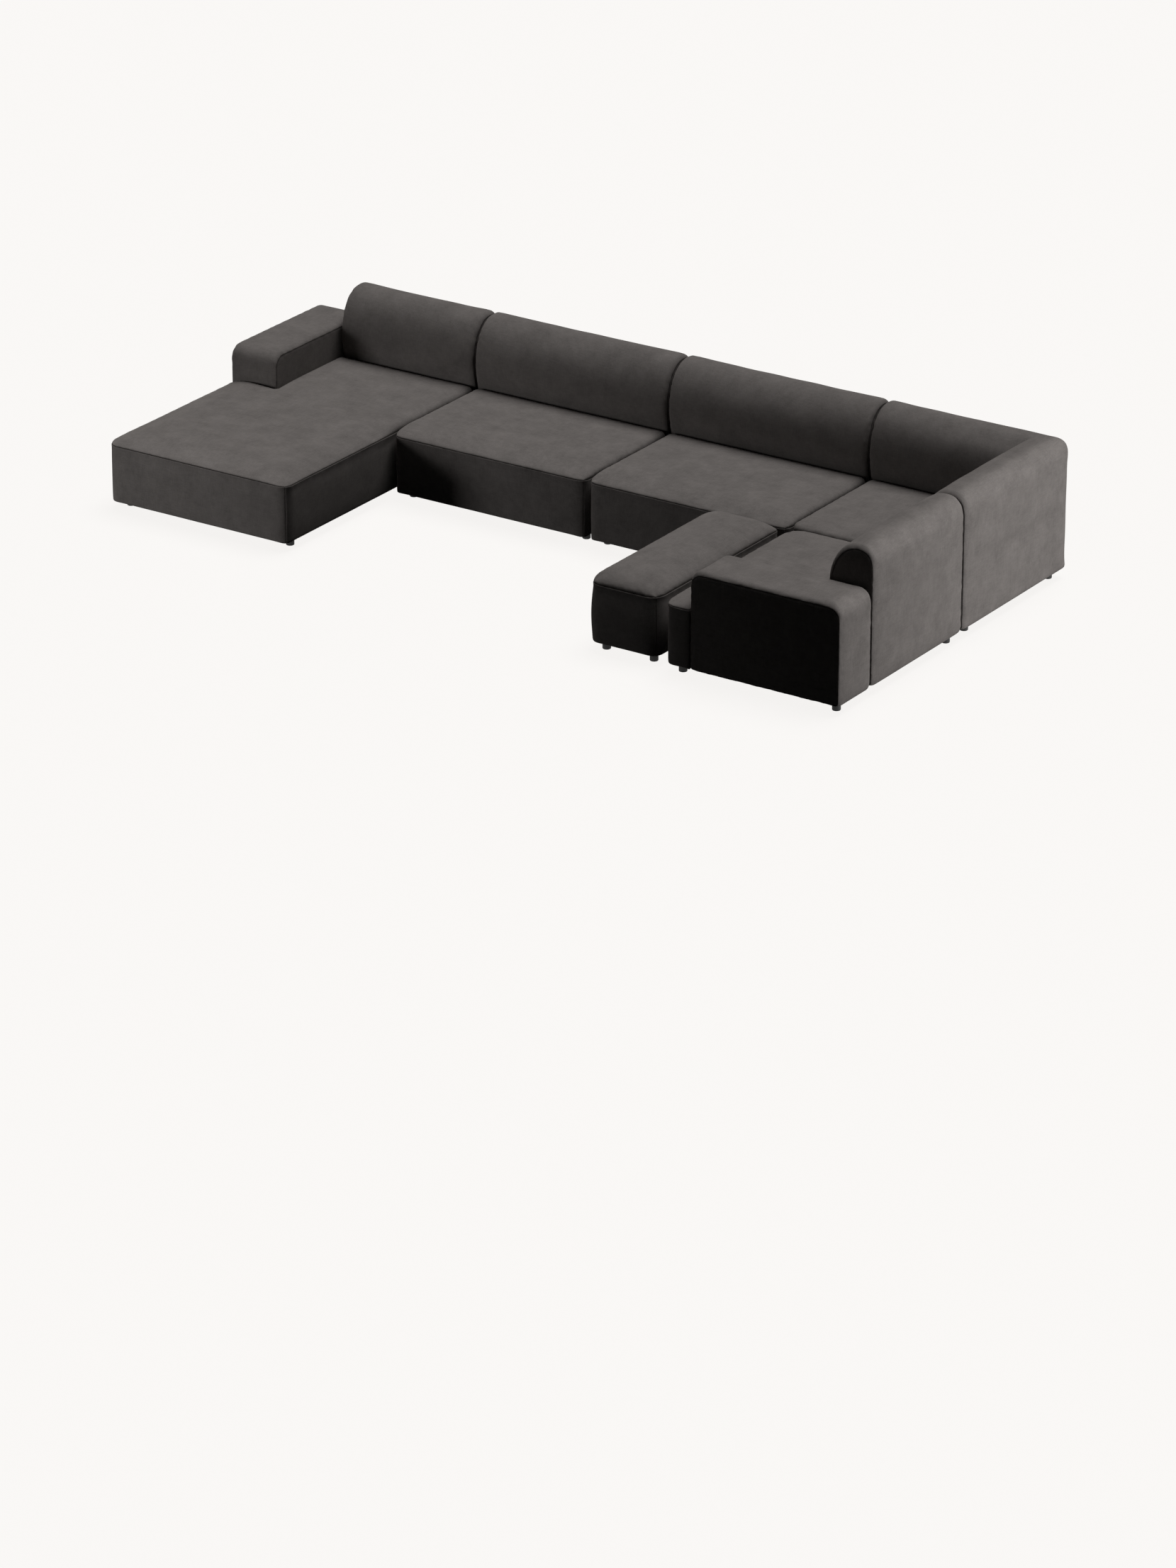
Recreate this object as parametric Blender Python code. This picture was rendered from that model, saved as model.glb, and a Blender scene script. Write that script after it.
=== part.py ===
"""Modular corner sofa: five upholstered units in a U and one narrow ottoman.

Run with: blender --background --python part.py
Metres, +Z up. The origin is on the floor under the middle of the whole sofa.
Each unit is built in its own frame: x runs from its left side to its right side as seen
from the front, y is zero at the back and negative towards the front.
"""
import math

import bmesh
import bpy
from mathutils import Vector

for scene_object in list(bpy.data.objects):
    bpy.data.objects.remove(scene_object, do_unlink=True)

# Clearances
FIT = 0.0003                 # gap between pieces that touch
OVERRUN = 0.02               # how far a cutter runs past the face that it opens
UNIT_GAP = 0.010             # gap between two units that stand side by side
SMOOTH_ANGLE = 40.0          # faces that meet at less than this are shaded as one

# Units in plan
UNIT_DEPTH = 1.010
SEAT_UNIT_WIDTH = 1.190
ARM_UNIT_WIDTH = 1.147
CHAISE_DEPTH = 1.915
OTTOMAN_WIDTH = 0.413
OTTOMAN_LENGTH = 1.112
OTTOMAN_SIDE_GAP = 0.041     # from the ottoman to the front of the end unit

# Heights above the floor
FOOT_HEIGHT = 0.048
SEAT_SEAM_HEIGHT = 0.356
SEAT_HEIGHT = 0.398
OTTOMAN_HEIGHT = 0.416
ARM_HEIGHT = 0.570
BACK_HEIGHT = 0.764

# Upholstered seat block
SEAT_CORNER_RADIUS = 0.080
SEAT_REAR_RADIUS = 0.045
SEAT_HIDDEN_RADIUS = 0.020   # corners against the back and in front of the arm
CORNER_FLOOR_SHARE = 0.08    # least radius that a drawn-in corner keeps
BOTTOM_EDGE_RADIUS = 0.016
BOTTOM_EDGE_ANGLE = 45.0     # where the rounded bottom edge has its middle ring
SIDE_BULGE = 0.002
SEAM_DRAW = 0.006            # how far the seam pulls the cover in
SEAM_BAND = 0.030            # height of the side that bends in under the seam
CROWN_RUN = 0.085            # how far in from the edge the top is level
CORNER_STEPS = 4
CROWN_ANGLES = (25.0, 45.0, 67.5, 90.0)

# Upholstered back block, measured forward from its rear face
BACK_FOOT_DEPTH = 0.240      # depth beside the seat block
BACK_BULGE_DEPTH = 0.262     # deepest point of the leaning front
BACK_BULGE_HEIGHT = 0.550
BACK_TOP_DEPTH = 0.135       # where the top is highest
BACK_SHOULDER = 0.164        # drop from the top to where the rear face is straight
BACK_REAR_POWER = 3.4        # squareness of the rear shoulder
BACK_FRONT_POWER = 1.9       # squareness of the front shoulder
BACK_REAR_ANGLES = (0.0, 25.0, 42.0, 58.0, 75.0)
BACK_FRONT_ANGLES = (90.0, 70.0, 52.0, 35.0, 18.0, 0.0)
BACK_FRONT_SHARES = ((0.30, 0.06), (0.75, 0.60))   # drop and draw-in under the bulge

# Upholstered arm block
ARM_THICKNESS = 0.290
CHAISE_TONGUE = 0.190        # from the front of the chaise's arm to the front of the seats beside it
END_TONGUE = 0.165           # seat of the end unit in front of its arm
ARM_TOP_RADIUS = 0.060

# Rounded ends of the back and arm blocks, out to the seam of the end panel
END_RADIUS = 0.030
END_ANGLES = (70.0, 45.0, 20.0, 0.0)
END_BOTTOM_SHARE = 0.5       # the bottom edge draws in less than the other edges
MITRE_ANGLES = (0.0, 22.5, 45.0)   # rings of the rounded corner up to the diagonal

# Wooden frames inside the upholstery
WALL = 0.030                 # foam between a frame and the outer face
RAIL = 0.030                 # thickness of every board
BASE_FRAME_HEIGHT = 0.154
MAX_WINDOW = 0.420           # widest opening between two rails
BACK_FRAME_TOP = 0.080       # foam over the back frame
ARM_FRAME_TOP = 0.050        # foam over the arm frame
ARM_FRAME_FRONT = 0.060      # foam before the arm frame
ARM_FRAME_LIP = 0.002        # how much the arm frame stands back from the rail under it
BLOCK_WIDTH = 0.060          # corner block over each foot
BLOCK_LENGTH = 0.095
BLOCK_HEIGHT = 0.030

# Elastic webbing under the seat foam, and the lining under the base frame
STRAP_WIDTH = 0.080
STRAP_THICKNESS = 0.003
STRAP_PITCH = 0.230
LINING_THICKNESS = 0.002

# Dowels that hold a back frame on the base frame
DOWEL_RADIUS = 0.008
DOWEL_BITE = 0.050           # length in the base frame
DOWEL_INSET = 0.015          # from the outer end of the frame to the dowel
DOWEL_SIDES = 8

# Feet
FOOT_RADIUS = 0.020
FOOT_CHAMFER = 0.003
FOOT_SIDES = 12
FOOT_FREE_INSET = 0.069      # from a side that stands free
FOOT_JOINED_INSET = 0.052    # from the left side where a unit joins on
FOOT_FRONT_INSET = 0.125     # from the front of a unit with a back
FOOT_RETURN_INSET = 0.080    # from the front of the end unit and the ends of the ottoman
FOOT_REAR_INSET = 0.062

# Link bar under each unit: a tongue on the left slides into the fork of the next unit
LINK_THICKNESS = 0.008
LINK_HALF_WIDTH = 0.030
LINK_EDGE = 0.012            # from the middle of the gap to each plate
LINK_REACH = 0.080           # from the middle of the gap to the far end of a plate
TONGUE_HALF_WIDTH = 0.012
TONGUE_REACH = 0.048
TONGUE_SIDE_PLAY = 0.0005
TONGUE_END_PLAY = 0.002
LINK_PLACE = 0.550           # from the back of the units to the middle of the bars

# Sizes that follow
TOTAL_LENGTH = ARM_UNIT_WIDTH + 2 * SEAT_UNIT_WIDTH + UNIT_DEPTH + 3 * UNIT_GAP
TOTAL_DEPTH = UNIT_DEPTH + UNIT_GAP + ARM_UNIT_WIDTH
LEFT = -TOTAL_LENGTH / 2
RIGHT = TOTAL_LENGTH / 2
REAR = TOTAL_DEPTH / 2
FRAME_BOTTOM = FOOT_HEIGHT + LINING_THICKNESS
FRAME_TOP = FRAME_BOTTOM + BASE_FRAME_HEIGHT
WEBBING_TOP = FRAME_TOP + FIT + STRAP_THICKNESS
INSIDE = WALL + RAIL         # from an outer face to the inner face of an edge rail

FINISHES = {
    "fabric": ((0.085, 0.078, 0.072), 0.95, 0.0),
    "wood": ((0.55, 0.36, 0.19), 0.6, 0.0),
    "webbing": ((0.03, 0.03, 0.03), 0.8, 0.0),
    "steel": ((0.60, 0.60, 0.62), 0.35, 1.0),
    "plastic": ((0.010, 0.010, 0.010), 0.5, 0.0),
}


# Building helpers

def finish(obj, kind):
    """Give the object a material of its own."""
    colour, roughness, metallic = FINISHES[kind]
    material = bpy.data.materials.new(obj.name + "_" + kind)
    material.use_nodes = True
    shader = material.node_tree.nodes["Principled BSDF"]
    shader.inputs["Base Color"].default_value = (*colour, 1.0)
    shader.inputs["Roughness"].default_value = roughness
    shader.inputs["Metallic"].default_value = metallic
    obj.data.materials.append(material)


def place(name, bm, unit, kind):
    """Turn the mesh into a named object that stands in its unit."""
    bmesh.ops.recalc_face_normals(bm, faces=bm.faces)
    mesh = bpy.data.meshes.new(name)
    bm.to_mesh(mesh)
    bm.free()
    obj = bpy.data.objects.new(name, mesh)
    bpy.context.collection.objects.link(obj)
    obj.parent = unit["empty"]
    finish(obj, kind)
    return obj


def add_loft(bm, rings):
    """Skin a closed solid over rings of equally many points."""
    layers = [[bm.verts.new(point) for point in ring] for ring in rings]
    for lower, upper in zip(layers, layers[1:]):
        for i in range(len(lower)):
            j = (i + 1) % len(lower)
            bm.faces.new((lower[i], lower[j], upper[j], upper[i]))
    bm.faces.new(layers[0])
    bm.faces.new(layers[-1])


def add_prism(bm, outline, bottom, top):
    """Raise a plan outline between two heights."""
    add_loft(bm, [[Vector((x, y, z)) for x, y in outline] for z in (bottom, top)])


def add_box(bm, x_span, y_span, z_span):
    outline = [(x_span[0], y_span[0]), (x_span[1], y_span[0]),
               (x_span[1], y_span[1]), (x_span[0], y_span[1])]
    add_prism(bm, outline, *z_span)


def add_turned(bm, centre, profile, sides):
    """Turn a list of (radius, height) about a vertical line."""
    rings = []
    for radius, height in profile:
        ring = []
        for i in range(sides):
            angle = 2 * math.pi * i / sides
            ring.append(Vector((centre[0] + radius * math.cos(angle),
                                centre[1] + radius * math.sin(angle), height)))
        rings.append(ring)
    add_loft(bm, rings)


def make_helper(name, bm, unit):
    """A solid that only cuts or completes others and isn't a piece of the sofa by itself."""
    helper = place(name, bm, unit, "wood")
    helper.hide_render = True
    helper.display_type = "WIRE"
    return helper


def combine(obj, helper, operation):
    modifier = obj.modifiers.new(helper.name, "BOOLEAN")
    modifier.operation = operation
    modifier.object = helper


def smooth(obj):
    obj.data.shade_smooth()
    obj.data.set_sharp_from_angle(angle=math.radians(SMOOTH_ANGLE))


# Outlines

def rounded_outline(corners, inset):
    """Plan outline of right-angled corners, drawn in by inset, with round corners.

    corners run anticlockwise as (x, y, radius).
    """
    points = []
    count = len(corners)
    for i, (x, y, radius) in enumerate(corners):
        before = Vector(corners[i - 1][:2])
        here = Vector((x, y))
        after = Vector(corners[(i + 1) % count][:2])
        along = (here - before).normalized()
        onward = (after - here).normalized()
        inward = Vector((-along.y, along.x)) + Vector((-onward.y, onward.x))
        turns_left = along.x * onward.y - along.y * onward.x > 0
        if turns_left:
            radius = max(radius - inset, radius * CORNER_FLOOR_SHARE)
        else:
            radius = radius + inset
        corner = here + inward * inset
        centre = corner - along * radius + onward * radius
        for step in range(CORNER_STEPS + 1):
            angle = math.pi / 2 * step / CORNER_STEPS
            point = centre - onward * radius * math.cos(angle) + along * radius * math.sin(angle)
            points.append((point.x, point.y))
    return points


def back_outline(inset, rear_inset):
    """Side view of a back block as (distance from the rear face, height)."""
    top = BACK_HEIGHT - inset
    bottom = FOOT_HEIGHT + inset * END_BOTTOM_SHARE
    straight = BACK_HEIGHT - BACK_SHOULDER
    points = [(rear_inset, bottom)]
    for angle in BACK_REAR_ANGLES:
        across = math.cos(math.radians(angle)) ** (2 / BACK_REAR_POWER)
        up = math.sin(math.radians(angle)) ** (2 / BACK_REAR_POWER)
        points.append((BACK_TOP_DEPTH - (BACK_TOP_DEPTH - rear_inset) * across,
                       straight + (top - straight) * up))
    front = BACK_BULGE_DEPTH - inset
    for angle in BACK_FRONT_ANGLES:
        across = max(math.cos(math.radians(angle)), 0.0) ** (2 / BACK_FRONT_POWER)
        up = math.sin(math.radians(angle)) ** (2 / BACK_FRONT_POWER)
        points.append((BACK_TOP_DEPTH + (front - BACK_TOP_DEPTH) * across,
                       BACK_BULGE_HEIGHT + (top - BACK_BULGE_HEIGHT) * up))
    foot = BACK_FOOT_DEPTH - inset
    drop = BACK_BULGE_HEIGHT - SEAT_SEAM_HEIGHT
    for drop_share, draw_share in BACK_FRONT_SHARES:
        points.append((front - (front - foot) * draw_share, BACK_BULGE_HEIGHT - drop * drop_share))
    points.append((foot, SEAT_SEAM_HEIGHT))
    points.append((foot, bottom))
    return points


def arm_outline(length, inset):
    """Side view of an arm block as (distance from the rear face, height)."""
    bottom = FOOT_HEIGHT + inset * END_BOTTOM_SHARE
    corners = [(0.0, bottom, BOTTOM_EDGE_RADIUS), (length, bottom, BOTTOM_EDGE_RADIUS),
               (length, ARM_HEIGHT, ARM_TOP_RADIUS), (0.0, ARM_HEIGHT, ARM_TOP_RADIUS)]
    inner = rounded_outline(corners, 0.0)
    points = []
    for depth, height in inner:
        depth_share = depth / length
        height_share = (height - bottom) / (ARM_HEIGHT - bottom)
        points.append((depth + inset * (1 - 2 * depth_share), height - inset * height_share))
    return points


def end_stations(length):
    """Places along a block with the inset of its rounded ends, as (place, inset)."""
    stations = []
    first = math.sin(math.radians(END_ANGLES[0]))
    for angle in END_ANGLES:
        place_in = END_RADIUS * (first - math.sin(math.radians(angle)))
        inset = END_RADIUS * (1 - math.cos(math.radians(angle)))
        stations.append((place_in, inset))
    return stations + [(length - place_in, inset) for place_in, inset in reversed(stations)]


# Upholstery

def seat_corners(unit):
    """Plan corners of the seat block, which reaches round the arm."""
    width = unit["width"]
    front = -unit["depth"]
    back = -(BACK_FOOT_DEPTH + FIT) if unit["backs"] else 0.0
    right = width - BACK_FOOT_DEPTH - FIT if "side" in unit["backs"] else width
    if not unit["arm"]:
        return [(0.0, front, SEAT_CORNER_RADIUS), (right, front, SEAT_CORNER_RADIUS),
                (right, back, SEAT_REAR_RADIUS), (0.0, back, SEAT_REAR_RADIUS)]
    arm_side = ARM_THICKNESS + FIT
    arm_front = -(unit["arm_length"] + FIT)
    corners = [(0.0, front, SEAT_CORNER_RADIUS), (width, front, SEAT_CORNER_RADIUS),
               (width, back, SEAT_REAR_RADIUS), (arm_side, back, SEAT_HIDDEN_RADIUS),
               (arm_side, arm_front, SEAT_HIDDEN_RADIUS), (0.0, arm_front, SEAT_HIDDEN_RADIUS)]
    if unit["arm"] == "right":
        corners = [(width - x, y, radius) for x, y, radius in reversed(corners)]
    return corners


def make_seat(unit):
    """Foam seat block: bulging sides, a drawn-in seam and a crowned top."""
    edge = BOTTOM_EDGE_RADIUS
    top = SEAT_HEIGHT if unit["backs"] else OTTOMAN_HEIGHT
    middle = (FOOT_HEIGHT + SEAT_SEAM_HEIGHT) / 2
    turn = 1 - math.cos(math.radians(BOTTOM_EDGE_ANGLE))
    sections = [(FOOT_HEIGHT, edge), (FOOT_HEIGHT + edge * turn, edge * turn),
                (FOOT_HEIGHT + edge, SIDE_BULGE), (middle, 0.0),
                (SEAT_SEAM_HEIGHT - SEAM_BAND, SIDE_BULGE), (SEAT_SEAM_HEIGHT, SEAM_DRAW)]
    for angle in CROWN_ANGLES:
        rise = (top - SEAT_SEAM_HEIGHT) * math.sin(math.radians(angle))
        run = CROWN_RUN * (1 - math.cos(math.radians(angle)))
        sections.append((SEAT_SEAM_HEIGHT + rise, SIDE_BULGE + run))
    corners = seat_corners(unit)
    rings = []
    for height, inset in sections:
        rings.append([Vector((x, y, height)) for x, y in rounded_outline(corners, inset)])
    bm = bmesh.new()
    add_loft(bm, rings)
    seat = place(unit["name"] + "_seat", bm, unit, "fabric")
    combine(seat, core_cutter(unit, "seat_core", WEBBING_TOP + FIT, []), "DIFFERENCE")
    smooth(seat)


def core_cutter(unit, name, top, slots):
    """The room for the base frame inside the upholstery, with slots for what stands on it."""
    bm = bmesh.new()
    add_box(bm, (WALL - FIT, unit["width"] - WALL + FIT),
            (-(unit["depth"] - WALL + FIT), -(WALL - FIT)), (FOOT_HEIGHT - OVERRUN, top))
    core = make_helper(unit["name"] + "_" + name, bm, unit)
    for number, spans in enumerate(slots):
        slot_mesh = bmesh.new()
        add_box(slot_mesh, *spans)
        slot = make_helper(core.name + "_slot" + str(number), slot_mesh, unit)
        combine(core, slot, "UNION")
    return core


def back_frame_spans(unit, side):
    """Outer sizes of a back frame as (start, end) along the back, rear to front, height."""
    start = WALL
    end = unit["width"] - WALL
    if unit["arm"] == "left":
        start = ARM_THICKNESS + WALL
    if unit["arm"] == "right":
        end = unit["width"] - ARM_THICKNESS - WALL
    if "side" in unit["backs"]:
        end = unit["width"] - (WALL if side == "rear" else INSIDE + FIT)
    return (start, end), (WALL, INSIDE), (FRAME_TOP + FIT, BACK_HEIGHT - BACK_FRAME_TOP)


def to_side(unit, x, y):
    """Reflect a place on the rear back onto the side back of the corner unit."""
    return unit["width"] + y, x - unit["width"]


def make_back(unit, side):
    """Foam back block with a leaning front, a round top and rounded ends."""
    start = FIT + ARM_THICKNESS if unit["arm"] == "left" else 0.0
    end = unit["width"] - (FIT + ARM_THICKNESS if unit["arm"] == "right" else 0.0)
    mitred = "side" in unit["backs"]
    rings = []
    stations = end_stations(end - start)
    if mitred:
        stations = stations[:len(END_ANGLES)]
    for along, inset in stations:
        ring = []
        for depth, height in back_outline(inset, inset):
            ring.append(Vector((start + along, -depth, height)))
        rings.append(ring)
    if mitred:
        rings += mitre_rings(end)
    if side == "side":
        rings = [[Vector((*to_side(unit, p.x, p.y), p.z)) for p in ring] for ring in rings]
    bm = bmesh.new()
    add_loft(bm, rings)
    label = "_" + side + "_back" if mitred else "_back"
    back = place(unit["name"] + label, bm, unit, "fabric")
    across, deep, high = back_frame_spans(unit, side)
    x_span = (across[0] - FIT, across[1] + FIT)
    y_span = (-(deep[1] + FIT), -(deep[0] - FIT))
    if side == "side":
        # The slot of the side back also crosses the mitre, where the rear frame ends.
        low = to_side(unit, x_span[0], y_span[0])
        high_point = to_side(unit, x_span[1], y_span[1])
        x_span = (low[0], high_point[0])
        y_span = (low[1], high_point[1])
    slots = [(x_span, y_span, (FOOT_HEIGHT, high[1] + FIT))]
    if mitred:
        slots.append(mitre_slot(unit))
    combine(back, core_cutter(unit, side + "_back_core", FRAME_TOP + FIT, slots), "DIFFERENCE")
    smooth(back)


def mitre_rings(end):
    """Sections that close a back on the diagonal, with the outer corner rounded."""
    rings = []
    last = math.radians(MITRE_ANGLES[-1])
    for angle in MITRE_ANGLES:
        swing = math.radians(angle)
        rear_inset = END_RADIUS * (1 - math.cos(swing))
        back_off = END_RADIUS * (math.sin(last) - math.sin(swing))
        back_off -= END_RADIUS * (math.cos(swing) - math.cos(last))
        back_off = max(back_off, 0.0) + FIT
        ring = []
        for depth, height in back_outline(0.0, rear_inset):
            ring.append(Vector((end - depth - back_off, -depth, height)))
        rings.append(ring)
    return rings


def mitre_slot(unit):
    """Room in one mitred back for the end of the frame in the other one."""
    x_span = (unit["width"] - INSIDE - FIT, unit["width"] - WALL + FIT)
    y_span = (-(INSIDE + FIT), -(WALL - FIT))
    return x_span, y_span, (FOOT_HEIGHT, BACK_HEIGHT - BACK_FRAME_TOP + FIT)


def make_arm(unit):
    """Foam arm block: flat side panels and a band over its front, top and rear."""
    rings = []
    for along, inset in end_stations(ARM_THICKNESS):
        ring = []
        for depth, height in arm_outline(unit["arm_length"], inset):
            x = along if unit["arm"] == "left" else unit["width"] - along
            ring.append(Vector((x, -depth, height)))
        rings.append(ring)
    bm = bmesh.new()
    add_loft(bm, rings)
    arm = place(unit["name"] + "_arm", bm, unit, "fabric")
    x_span, y_span, z_span = arm_frame_spans(unit)
    slot = ((x_span[0] - FIT, x_span[1] + FIT), (y_span[0] - FIT, y_span[1] + FIT),
            (FOOT_HEIGHT, z_span[1] + FIT))
    combine(arm, core_cutter(unit, "arm_core", FRAME_TOP + FIT, [slot]), "DIFFERENCE")
    smooth(arm)


# Wooden frames

def rails_between(anchors):
    """Spans of equal rails: one at each anchor, and more where a window would be too wide."""
    spans = []
    for anchor, following in zip(anchors, anchors[1:]):
        opening = following - anchor - RAIL
        windows = max(1, math.ceil(opening / MAX_WINDOW))
        step = (following - anchor) / windows
        for i in range(windows):
            spans.append((anchor + i * step, anchor + i * step + RAIL))
    spans.append((anchors[-1], anchors[-1] + RAIL))
    return spans


def is_inside(value, spans):
    return any(low < value < high for low, high in spans)


def add_lattice(bm, u_spans, v_spans, w_span, to_point, left_out=None):
    """One flat frame or net: bars over the given spans in two directions, of one thickness.

    left_out is a rectangle (u span, v span) that holds no bars.
    """
    us = sorted({edge for span in u_spans for edge in span} | set(left_out[0] if left_out else ()))
    vs = sorted({edge for span in v_spans for edge in span} | set(left_out[1] if left_out else ()))
    verts = {}

    def vert(i, j, w):
        if (i, j, w) not in verts:
            verts[i, j, w] = bm.verts.new(to_point(us[i], vs[j], w))
        return verts[i, j, w]

    def is_solid(i, j):
        if not (0 <= i < len(us) - 1 and 0 <= j < len(vs) - 1):
            return False
        u = (us[i] + us[i + 1]) / 2
        v = (vs[j] + vs[j + 1]) / 2
        if left_out and is_inside(u, [left_out[0]]) and is_inside(v, [left_out[1]]):
            return False
        return is_inside(u, u_spans) or is_inside(v, v_spans)

    low, high = w_span
    for i in range(len(us) - 1):
        for j in range(len(vs) - 1):
            if not is_solid(i, j):
                continue
            cell = [(i, j), (i + 1, j), (i + 1, j + 1), (i, j + 1)]
            bm.faces.new([vert(*corner, low) for corner in cell])
            bm.faces.new([vert(*corner, high) for corner in cell])
            sides = [(i, j - 1), (i + 1, j), (i, j + 1), (i - 1, j)]
            for k, neighbour in enumerate(sides):
                if not is_solid(*neighbour):
                    a, b = cell[k], cell[(k + 1) % len(cell)]
                    bm.faces.new([vert(*a, low), vert(*b, low), vert(*b, high), vert(*a, high)])


def base_anchors(unit):
    """Where the rails of the base frame start, from the left side and from the back."""
    width = unit["width"]
    across = [WALL, width - INSIDE]
    deep = [WALL, unit["depth"] - INSIDE]
    if unit["backs"]:
        deep.append(BACK_FOOT_DEPTH)
    if "side" in unit["backs"]:
        across.append(width - BACK_FOOT_DEPTH - RAIL)
    if unit["arm"]:
        deep.append(unit["arm_length"])
    if unit["arm"] == "left":
        across.append(ARM_THICKNESS)
    if unit["arm"] == "right":
        across.append(width - ARM_THICKNESS - RAIL)
    return sorted(across), sorted(deep)


def corner_blocks(unit):
    """Blocks glued into the corners of the base frame, over the feet."""
    bm = bmesh.new()
    grip = RAIL / 2
    x_low, x_high = INSIDE - grip, INSIDE + BLOCK_WIDTH
    y_low, y_high = INSIDE - grip, INSIDE + BLOCK_LENGTH
    for x_span in ((x_low, x_high), (unit["width"] - x_high, unit["width"] - x_low)):
        for y_span in ((-y_high, -y_low), (y_low - unit["depth"], y_high - unit["depth"])):
            add_box(bm, x_span, y_span, (FRAME_BOTTOM, FRAME_BOTTOM + BLOCK_HEIGHT))
    return make_helper(unit["name"] + "_corner_blocks", bm, unit)


def arm_frame_spans(unit):
    """Outer sizes of the board frame inside the arm, which stands on the side rail."""
    low, high = WALL + ARM_FRAME_LIP, INSIDE - ARM_FRAME_LIP
    x_span = (low, high)
    if unit["arm"] == "right":
        x_span = (unit["width"] - high, unit["width"] - low)
    y_span = (-(unit["arm_length"] - ARM_FRAME_FRONT), -low)
    return x_span, y_span, (FRAME_TOP - RAIL / 2, ARM_HEIGHT - ARM_FRAME_TOP)


def seat_board(unit):
    """Board over the base frame of a unit that is too narrow for webbing."""
    edge = WALL + RAIL / 3
    bm = bmesh.new()
    add_box(bm, (edge, unit["width"] - edge), (edge - unit["depth"], -edge),
            (FRAME_TOP - RAIL / 2, WEBBING_TOP))
    return make_helper(unit["name"] + "_seat_board", bm, unit)


def make_base_frame(unit):
    """Glued board frame under the whole unit, with the frame of the arm on its side rail."""
    across, deep = base_anchors(unit)
    bm = bmesh.new()
    add_lattice(bm, rails_between(across), rails_between(deep), (FRAME_BOTTOM, FRAME_TOP),
                lambda u, v, w: Vector((u, -v, w)))
    frame = place(unit["name"] + "_base_frame", bm, unit, "wood")
    combine(frame, corner_blocks(unit), "UNION")
    if not unit["backs"]:
        combine(frame, seat_board(unit), "UNION")
    if unit["arm"]:
        x_span, y_span, z_span = arm_frame_spans(unit)
        uprights = rails_between([y_span[0], y_span[1] - RAIL])
        levels = [(z_span[0], z_span[0] + RAIL), (z_span[1] - RAIL, z_span[1])]
        arm_mesh = bmesh.new()
        add_lattice(arm_mesh, uprights, levels, x_span, lambda u, v, w: Vector((w, u, v)))
        arm_frame = make_helper(unit["name"] + "_arm_frame", arm_mesh, unit)
        combine(frame, arm_frame, "UNION")
    for side in unit["backs"]:
        combine(frame, dowels(unit, side, "_holes", FIT), "DIFFERENCE")


def dowels(unit, side, label, clearance):
    """The two dowels of a back frame, or the holes for them."""
    across, deep, high = back_frame_spans(unit, side)
    middle = (deep[0] + deep[1]) / 2
    radius = DOWEL_RADIUS + clearance
    profile = [(radius, FRAME_TOP - DOWEL_BITE - clearance), (radius, high[0] + RAIL / 2)]
    bm = bmesh.new()
    for x in (across[0] + DOWEL_INSET, across[1] - DOWEL_INSET):
        centre = to_side(unit, x, -middle) if side == "side" else (x, -middle)
        add_turned(bm, centre, profile, DOWEL_SIDES)
    return make_helper(unit["name"] + "_" + side + label, bm, unit)


def make_back_frame(unit, side):
    """Upright board frame inside a back block, doweled to the base frame."""
    across, deep, high = back_frame_spans(unit, side)
    uprights = rails_between([across[0], across[1] - RAIL])
    levels = [(high[0], high[0] + RAIL), (high[1] - RAIL, high[1])]

    def to_point(u, v, w):
        x, y = u, -w
        if side == "side":
            x, y = to_side(unit, x, y)
        return Vector((x, y, v))

    bm = bmesh.new()
    add_lattice(bm, uprights, levels, deep, to_point)
    label = "_" + side + "_back_frame" if "side" in unit["backs"] else "_back_frame"
    frame = place(unit["name"] + label, bm, unit, "wood")
    combine(frame, dowels(unit, side, "_dowels", 0.0), "UNION")


# Webbing and feet

def strap_spans(start, end):
    """Evenly spaced straps from edge to edge."""
    count = max(2, round((end - start) / STRAP_PITCH))
    step = (end - start - STRAP_WIDTH) / (count - 1)
    return [(start + i * step, start + i * step + STRAP_WIDTH) for i in range(count)]


def make_webbing(unit):
    """Net of elastic straps over the open part of the base frame, under the seat foam."""
    width = unit["width"]
    rear = BACK_FOOT_DEPTH + FIT
    right = width - BACK_FOOT_DEPTH - FIT if "side" in unit["backs"] else width - WALL
    x_span = (WALL, right)
    y_span = (rear, unit["depth"] - WALL)
    arm_edge = ARM_THICKNESS + FIT
    left_out = None
    straps = strap_spans(*x_span)
    if unit["arm"] == "left":
        left_out = ((WALL, arm_edge), (rear, unit["arm_length"] + FIT))
        straps = [(WALL, WALL + STRAP_WIDTH)] + strap_spans(arm_edge, right)
    if unit["arm"] == "right":
        left_out = ((width - arm_edge, right), (rear, unit["arm_length"] + FIT))
        straps = strap_spans(WALL, width - arm_edge) + [(right - STRAP_WIDTH, right)]
    bm = bmesh.new()
    add_lattice(bm, straps, strap_spans(*y_span), (FRAME_TOP + FIT, WEBBING_TOP),
                lambda u, v, w: Vector((u, -v, w)), left_out)
    place(unit["name"] + "_webbing", bm, unit, "webbing")


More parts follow.
